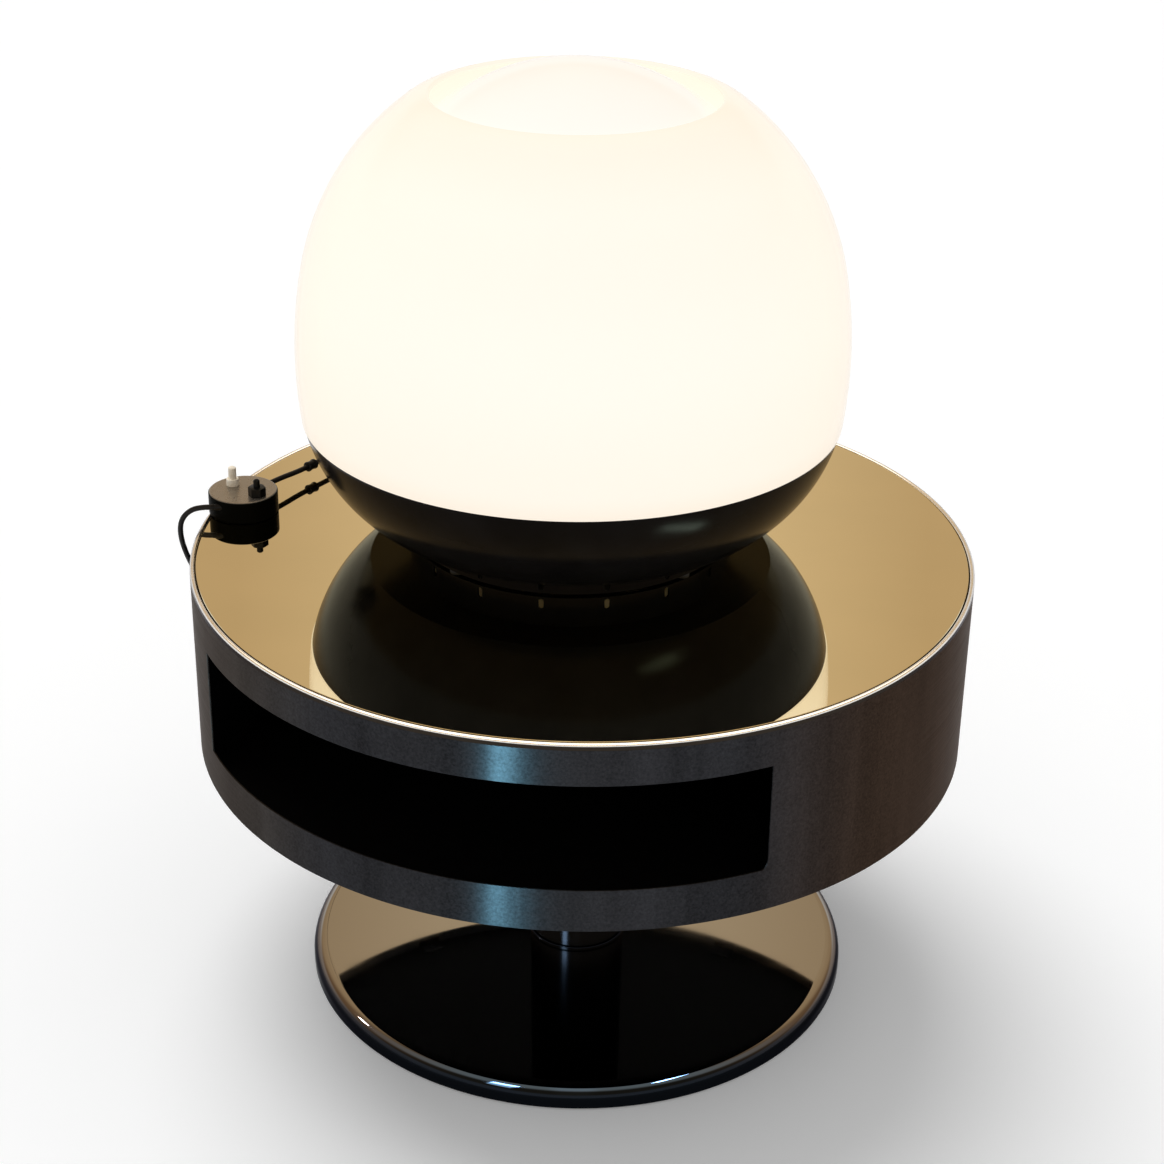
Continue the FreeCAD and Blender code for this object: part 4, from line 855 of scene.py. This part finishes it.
def vent_slots():
    """One upright slot with round ends, drawn out of a rod, then copied round the neck."""
    half = SLOT_W / 2
    low = SLOT_LOW + half
    near = LAMP[1] - NECK_R
    slot = rod("slot_cutter", (LAMP[0], near - 0.004, low), (LAMP[0], near + 0.004, low), half, 24)
    bpy.ops.object.mode_set(mode="EDIT")
    bpy.ops.mesh.select_all(action="DESELECT")
    mesh = bmesh.from_edit_mesh(slot.data)
    for vertex in mesh.verts:
        vertex.select_set(vertex.co.z > low + 1e-5)
    mesh.select_flush_mode()
    bmesh.update_edit_mesh(slot.data)
    bpy.ops.transform.translate(value=(0, 0, SLOT_HIGH - SLOT_LOW - SLOT_W))
    bpy.ops.object.mode_set(mode="OBJECT")
    return copies_round(slot, LAMP, SLOT_COUNT, SLOT_FIRST)


def bowl():
    """Outside from the hole to the rim, round the rim's edge and back inside."""
    inner_r = BOWL_ARC_R - SHEET_T
    half = SHEET_T / 2
    outer_from = angle_at(BOWL_CENTRE, BOWL_ARC_R, BOWL_LOW)
    edge = angle_at(BOWL_CENTRE, BOWL_ARC_R, BOWL_TOP - half)
    inner_to = angle_at(BOWL_CENTRE, inner_r, BOWL_LOW + SHEET_T)
    rim = on_arc(BOWL_CENTRE, BOWL_ARC_R - half, edge)
    return lathe("bowl_lacquered", [
        (BOWL_HOLE_R, BOWL_LOW), *arc(BOWL_CENTRE, BOWL_ARC_R, outer_from, edge, 36),
        *arc(rim, half, edge, edge + 180, 8), *arc(BOWL_CENTRE, inner_r, edge, inner_to, 24),
        (BOWL_HOLE_R, BOWL_LOW + SHEET_T)], LAMP, steps=256)


def outer_glass():
    """Lip, side, shoulder and rim outside, round the mouth's edge and back inside."""
    side_r, side_to = SIDE_ARC
    shoulder_r, shoulder_to = SHOULDER_ARC
    rim_r, rim_to = RIM_ARC
    side = (BELLY[0] - side_r, BELLY[1])
    shoulder = on_arc(side, side_r - shoulder_r, side_to)
    rim = on_arc(shoulder, shoulder_r - rim_r, shoulder_to)
    edge = on_arc(rim, rim_r - GLASS_T / 2, rim_to)
    outer_from = angle_at(side, side_r, GLASS_STEP)
    inner_to = angle_at(side, side_r - GLASS_T, GLASS_STEP + GLASS_T)
    return lathe("outer_glass_blown", [
        (LIP_R - GLASS_T, LIP_LOW), (LIP_R, LIP_LOW), (LIP_R, GLASS_STEP),
        *arc(side, side_r, outer_from, side_to, 24), *arc(shoulder, shoulder_r, side_to, shoulder_to, 24),
        *arc(rim, rim_r, shoulder_to, rim_to, 6), *arc(edge, GLASS_T / 2, rim_to, rim_to + 180, 10),
        *arc(rim, rim_r - GLASS_T, rim_to, shoulder_to, 6),
        *arc(shoulder, shoulder_r - GLASS_T, shoulder_to, side_to, 20),
        *arc(side, side_r - GLASS_T, side_to, inner_to, 16), (LIP_R - GLASS_T, GLASS_STEP + GLASS_T)],
        LAMP, steps=256)


def inner_globe():
    """From the top down to the neck outside, and back up inside."""
    middle = (0.0, GLOBE_MIDDLE)
    inner_r = GLOBE_R - GLOBE_T
    neck_inner = GLOBE_NECK_R - GLOBE_T
    outer_to = -math.degrees(math.acos(GLOBE_NECK_R / GLOBE_R))
    inner_from = -math.degrees(math.acos(neck_inner / inner_r))
    return lathe("inner_globe_blown", [
        *arc(middle, GLOBE_R, 90, outer_to, 56), (GLOBE_NECK_R, GLOBE_NECK_LOW),
        (neck_inner, GLOBE_NECK_LOW), *arc(middle, inner_r, inner_from, 90, 40)],
        LAMP, steps=192, closed=False)


dress(neck_ring(), TABLE, ["neck_ring"])
dress(bowl(), TABLE, ["bowl"])
dress(outer_glass(), "outer_glass", ["outer_glass"])
dress(inner_globe(), TABLE, ["inner_globe"])


# Cord switch

def on_puck(offset):
    return (PUCK.x + offset[0], PUCK.y + offset[1])


def switch_case():
    chamfer = 0.0014
    inner = PUCK_R - PUCK_WALL
    ceiling = PUCK_TOP - PUCK_WALL
    case = lathe("switch_case_moulded", [
        (0, ceiling), (inner, ceiling), (inner, PUCK_LOW), (PUCK_R, PUCK_LOW), (PUCK_R, PUCK_TOP - chamfer),
        (PUCK_R - chamfer, PUCK_TOP), (0, PUCK_TOP)], on_puck((0, 0)), steps=128, closed=False)
    return soften(case, 0.0003, 3)


def white_collar():
    """A round collar on a threaded shank, a little narrower at the top."""
    bore = WHITE_PLUNGER_R + BUTTON_GAP
    top = WHITE_COLLAR_TOP
    edge = 0.0009
    return lathe("white_collar_turned", [
        (bore, PUCK_TOP - BUTTON_SHANK), (BUTTON_THREAD_R, PUCK_TOP - BUTTON_SHANK),
        (BUTTON_THREAD_R, PUCK_TOP), (WHITE_COLLAR_R - 0.0002, PUCK_TOP),
        (WHITE_COLLAR_R, PUCK_TOP + 0.0002), (WHITE_COLLAR_R - 0.0002, PUCK_TOP + 0.0034),
        *arc((WHITE_COLLAR_R - 0.0004 - edge, top - edge), edge, 0, 90, 6), (bore + 0.0003, top),
        (bore, top - 0.0003)], on_puck(WHITE_AT), steps=64)


def black_collar():
    """A hexagon with its corners turned off at the top, bored for its button."""
    corner = BLACK_COLLAR_FLATS / math.sqrt(3)
    high = BLACK_COLLAR_TOP - PUCK_TOP
    place = (*on_puck(BLACK_AT), PUCK_TOP + high / 2)
    bpy.ops.object.select_all(action="DESELECT")
    bpy.ops.mesh.primitive_cylinder_add(vertices=6, radius=corner, depth=high, location=place,
                                        rotation=(0, 0, math.radians(30)))
    collar = bpy.context.object
    collar.name = collar.data.name = "black_collar_hexagon"
    settle(collar)
    turned_off = lathe("collar_corner_cutter", [
        (corner * 0.90, BLACK_COLLAR_TOP + 0.001), (corner * 1.3, BLACK_COLLAR_TOP + 0.001),
        (corner * 1.3, BLACK_COLLAR_TOP - 0.0016), (corner * 0.90, BLACK_COLLAR_TOP + 0.0001)],
        on_puck(BLACK_AT), steps=64)
    cut(collar, turned_off)
    bore = BLACK_PLUNGER_R + BUTTON_GAP
    axis = on_puck(BLACK_AT)
    cut(collar, rod("collar_bore", (*axis, PUCK_TOP - 0.001), (*axis, BLACK_COLLAR_TOP + 0.001), bore, 48))
    return soften(collar, 0.0002)


def plunger(name, offset, radius, top):
    """A domed button on its shaft, with the flange that its spring lifts."""
    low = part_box("white_button")[0].z + SPRING_GAP
    flange_top = low - SPRING_GAP + BUTTON_FLANGE_T
    dome = 0.0016
    dome_r = (radius ** 2 + dome ** 2) / (2 * dome)
    dome_from = math.degrees(math.acos(radius / dome_r))
    return lathe(name, [
        (0, low), (radius + BUTTON_FLANGE, low), (radius + BUTTON_FLANGE, flange_top),
        (radius, flange_top), *arc((0.0, top - dome_r), dome_r, dome_from, 90, 10)],
        on_puck(offset), steps=48, closed=False)


def button_spring(name, offset, node):
    """Close turns of wire round the button's axis."""
    low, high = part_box(node)[0].z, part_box(node)[1].z
    half = (high - low) / (2 * SPRING_TURNS)
    outside, inside = [], []
    for i in range(SPRING_TURNS):
        middle = (SPRING_R - half, low + (2 * i + 1) * half)
        outside += arc(middle, half, -80, 80, 6)
        inside = arc(middle, half, 100, 260, 6) + inside
    spring = dress(lathe(name, outside + inside, on_puck(offset), steps=40), TABLE, [node])
    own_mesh(spring)


def cord_sleeve(name, place, way, root):
    """A stiff rubber sleeve that tapers to the cord, with a shallow groove round it."""
    edge = 0.0004
    sleeve = lathe(name, [
        (CORD_R, -root), (SLEEVE_R, -root), (SLEEVE_R, 0.0), (SLEEVE_R - 0.0001, 0.0022),
        (SLEEVE_R - 0.0004, 0.0026), (SLEEVE_R - 0.0004, 0.0031), (SLEEVE_R - 0.0002, 0.0034),
        *arc((SLEEVE_TIP_R - edge, SLEEVE_OUT - edge), edge, 0, 90, 4), (CORD_R, SLEEVE_OUT)], steps=48)
    return aim(sleeve, place, way)


def connector():
    """A short barrel with chamfered ends and a ring at each end."""
    start, _ = connector_ends()
    edge = 0.0008
    ring = 0.0022
    low = CONNECTOR_R - 0.0005
    barrel = lathe("cord_connector_barrel", [
        (0, 0), (CONNECTOR_R - edge, 0), (CONNECTOR_R, edge), (CONNECTOR_R, ring), (low, ring + 0.0004),
        (low, CONNECTOR_L - ring - 0.0004), (CONNECTOR_R, CONNECTOR_L - ring),
        (CONNECTOR_R, CONNECTOR_L - edge), (CONNECTOR_R - edge, CONNECTOR_L), (0, CONNECTOR_L)],
        steps=48, closed=False)
    return aim(barrel, start, LINK_WAY)


def mains_plug():
    """A rounded block with a grip groove all round, and a ribbed neck that tapers to the cord."""
    low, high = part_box("mains_plug")
    neck_end = high.y - PLUG_NECK
    middle = Vector(((low.x + high.x) / 2, (low.y + neck_end) / 2, (low.z + high.z) / 2))
    bpy.ops.object.select_all(action="DESELECT")
    bpy.ops.mesh.primitive_cube_add(size=1, location=middle)
    block = bpy.context.object
    block.name = block.data.name = "mains_plug_moulded"
    block.scale = (high.x - low.x, neck_end - low.y, high.z - low.z)
    settle(block)
    bpy.ops.object.mode_set(mode="EDIT")
    for y in (middle.y - PLUG_GRIP, middle.y + PLUG_GRIP):
        bpy.ops.mesh.select_all(action="SELECT")
        bpy.ops.mesh.bisect(plane_co=(middle.x, y, middle.z), plane_no=(0, 1, 0))
    bpy.ops.object.mode_set(mode="OBJECT")
    inside = PLUG_GRIP - 0.0001
    soften(block, inside, 5)
    bpy.ops.object.mode_set(mode="EDIT")
    bpy.ops.mesh.select_all(action="DESELECT")
    mesh = bmesh.from_edit_mesh(block.data)
    for face in mesh.faces:
        if abs(face.calc_center_median().y - middle.y) < inside:
            face.select_set(True)
    bmesh.update_edit_mesh(block.data)
    bpy.ops.mesh.inset(thickness=0.0006, depth=-0.0008)
    bpy.ops.object.mode_set(mode="OBJECT")
    length = high.y - neck_end
    ribs = []
    for i in range(PLUG_RIBS):
        at = 0.002 + i * PLUG_RIB_PITCH
        radius = PLUG_NECK_R + (CORD_R - PLUG_NECK_R) * at / length
        inner = radius - PLUG_RIB_HIGH
        ribs += [(radius, at), (radius, at + 0.0018), (inner, at + 0.0021), (inner, at + 0.0033)]
    neck = lathe("plug_neck_ribbed", [
        (0, -0.001), (PLUG_NECK_R, -0.001), *ribs, (CORD_R, length), (0, length)], steps=48, closed=False)
    aim(neck, (middle.x, neck_end, middle.z), (0, 1, 0))
    return settle(joined([block, neck]))


def plug_pins():
    """Round pins with smooth tips."""
    low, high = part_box("plug_pins")
    radius = (high.z - low.z) / 2
    tip = radius * 0.9
    length = high.y - low.y
    pins = []
    for x in (low.x + radius, high.x - radius):
        pin = lathe("plug_pins_turned", [
            (0, 0), (radius, 0), *arc((radius - tip, length - tip), tip, 0, 90, 8), (0, length)],
            steps=40, closed=False)
        pins.append(aim(pin, (x, high.y, (low.z + high.z) / 2), (0, -1, 0)))
    return settle(joined(pins))


def sleeve_root(side, way_heading):
    """How far inside the switch a slanting sleeve starts."""
    slant = math.radians(side - way_heading)
    return PUCK_WALL / math.cos(slant) + SLEEVE_R * math.tan(abs(slant)) + 0.002


link_sleeve = cord_sleeve("cord_sleeves", LINK_EXIT, LINK_WAY, sleeve_root(LINK_HEADING, LINK_HEADING))
mains_sleeve = cord_sleeve("mains_sleeve", MAINS_EXIT, MAINS_WAY, sleeve_root(MAINS_SIDE, MAINS_HEADING))
dress(switch_case(), TABLE, ["switch_case"], switch_painted_sheen)
dress(white_collar(), TABLE, ["white_button_collar"])
dress(black_collar(), TABLE, ["black_button_collar"])
dress(plunger("white_button_domed", WHITE_AT, WHITE_PLUNGER_R, WHITE_PLUNGER_TOP), "white_button",
      ["white_button"])
dress(plunger("black_button_domed", BLACK_AT, BLACK_PLUNGER_R, BLACK_PLUNGER_TOP), "black_button",
      ["black_button"])
button_spring("white_button_coil", WHITE_AT, "white_button_spring")
button_spring("black_button_coil", BLACK_AT, "black_button_spring")
dress(settle(joined([link_sleeve, mains_sleeve])), TABLE, ["switch_sleeves"])
barrel = dress(connector(), TABLE, ["inline_connector"])
plug = dress(mains_plug(), TABLE, ["mains_plug"])
pins = dress(plug_pins(), TABLE, ["plug_pins"])

for piece, node in ((link_cord, "cord_link"), (lamp_cord, "cord_to_lamp"), (mains_cord, "mains_cord")):
    piece.data.materials.append(finishes["cord"])
    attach(piece, TABLE)
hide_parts("cord_link")
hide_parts("cord_to_lamp")
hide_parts("mains_cord", "mains_cord_coil")
link_route()[0]
lamp_route()[-1]


# Floor and light

def floor():
    """A pale floor that lights up a little where the camera sees it."""
    bpy.ops.object.select_all(action="DESELECT")
    bpy.ops.mesh.primitive_circle_add(vertices=96, radius=60.0, fill_type="NGON")
    ground = bpy.context.object
    ground.name = "floor"
    made, tree, shader = material("pale_floor")
    give(shader, {"Base Color": (0.95, 0.95, 0.95, 1), "Roughness": 0.9, "Specular IOR Level": 0.1,
                  "Emission Color": (1, 1, 1, 1)})
    path = tree.nodes.new("ShaderNodeLightPath")
    tree.links.new(ranged(tree, path.outputs["Is Camera Ray"], 0, 0.13, 0, 1),
                   shader.inputs["Emission Strength"])
    ground.data.materials.append(made)


def mirrored_lamp(name, place, towards, width, height, power, colour, pieces, lean=0.0):
    """A soft box, leaning by degrees, that shows only in the gloss of the given pieces."""
    data = bpy.data.lights.new(name, "AREA")
    data.shape = "RECTANGLE"
    data.size = width
    data.size_y = height
    data.energy = power
    data.color = colour
    soft_box = bpy.data.objects.new(name, data)
    way = Vector(place) - Vector(towards)
    soft_box.matrix_world = (Matrix.Translation(place) @ way.to_track_quat("Z", "Y").to_matrix().to_4x4()
                             @ Matrix.Rotation(math.radians(lean), 4, "Z"))
    soft_box.visible_camera = False
    soft_box.visible_diffuse = False
    bpy.context.scene.collection.objects.link(soft_box)
    lit = bpy.data.collections.new(name)
    for piece in pieces:
        lit.objects.link(piece)
    soft_box.light_linking.receiver_collection = lit


def out_there(azimuth, radius, z):
    """A place round the table's axis, its azimuth in degrees from -Y towards +X."""
    turn = math.radians(azimuth)
    return Vector((radius * math.sin(turn), -radius * math.cos(turn), z))


def sky():
    """Plain light for matt surfaces. What is seen and mirrored is pale at the horizon and tan above."""
    world = bpy.data.worlds.new("studio")
    bpy.context.scene.world = world
    world.use_nodes = True
    tree = world.node_tree
    tree.nodes.clear()
    place = tree.nodes.new("ShaderNodeTexCoord")
    split = tree.nodes.new("ShaderNodeSeparateXYZ")
    tree.links.new(place.outputs["Generated"], split.inputs["Vector"])
    pale_to, tan_from = math.radians(13), math.radians(20)
    rise = ranged(tree, split.outputs["Z"], 0, 1, math.sin(pale_to), math.sin(tan_from))
    aside = ranged(tree, calculated(tree, "ABSOLUTE", split.outputs["X"]), 0, 1, 0.07, 0.145)
    wall = blended(tree, aside, (0.71, 0.55, 0.36), (0.56, 0.41, 0.25))
    seen = tree.nodes.new("ShaderNodeBackground")
    tree.links.new(blended(tree, rise, (0.93, 0.93, 0.92), wall), seen.inputs["Color"])
    plain = tree.nodes.new("ShaderNodeBackground")
    give(plain, {"Color": (1, 1, 1, 1), "Strength": 0.5})
    path = tree.nodes.new("ShaderNodeLightPath")
    seen_ray = calculated(tree, "MAXIMUM", path.outputs["Is Camera Ray"], path.outputs["Is Glossy Ray"])
    mix = tree.nodes.new("ShaderNodeMixShader")
    tree.links.new(calculated(tree, "MAXIMUM", seen_ray, path.outputs["Is Transmission Ray"]),
                   mix.inputs["Fac"])
    tree.links.new(plain.outputs["Background"], mix.inputs[1])
    tree.links.new(seen.outputs["Background"], mix.inputs[2])
    output = tree.nodes.new("ShaderNodeOutputWorld")
    tree.links.new(mix.outputs["Shader"], output.inputs["Surface"])


def sun():
    """A soft light from above, behind and left, that no gloss mirrors."""
    data = bpy.data.lights.new("overhead_sun", "SUN")
    data.energy = 1.5
    data.angle = math.radians(40)
    lamp = bpy.data.objects.new("overhead_sun", data)
    way = Vector((-0.25, 0.35, 1.0)).normalized()
    lamp.matrix_world = way.to_track_quat("Z", "Y").to_matrix().to_4x4()
    lamp.visible_glossy = False
    bpy.context.scene.collection.objects.link(lamp)


floor()
sky()
sun()
window_blue = (0.62, 0.86, 1.0)
mirrored_lamp("left_strip", out_there(-16.2, 1.1, 0.36), (0, 0, 0.36), 0.02, 0.7, 7.2, (0.32, 0.80, 0.97),
              [band], lean=-12.0)
mirrored_lamp("column_strip", out_there(-29, 1.5, 1.05), (0, 0, 0.1), 0.28, 0.6, 11.5, window_blue,
              [tube, foot_ring, base_disc])
mirrored_lamp("right_window", out_there(61, 1.6, 2.4), (0, 0, 0.5), 0.7, 0.2, 5.5, window_blue, [mirror])
mirrored_lamp("above_the_rim", (0, 0, 2.4), (0, 0, TABLE_H), 4.0, 4.0, 75.0, (1.0, 0.95, 0.88), [ring])
mirrored_lamp("right_of_the_base", (0.617, -0.423, 1.084), (0, -0.22, 0), 0.55, 0.07, 3.4,
              (0.75, 0.9, 1.0), [base_disc])
mirrored_lamp("left_of_the_base", (-1.188, 0.073, 0.653), (-0.2, -0.15, 0), 0.10, 0.10, 1.6,
              (1.0, 0.9, 0.78), [base_disc])
bpy.context.scene.view_settings.view_transform = "Standard"
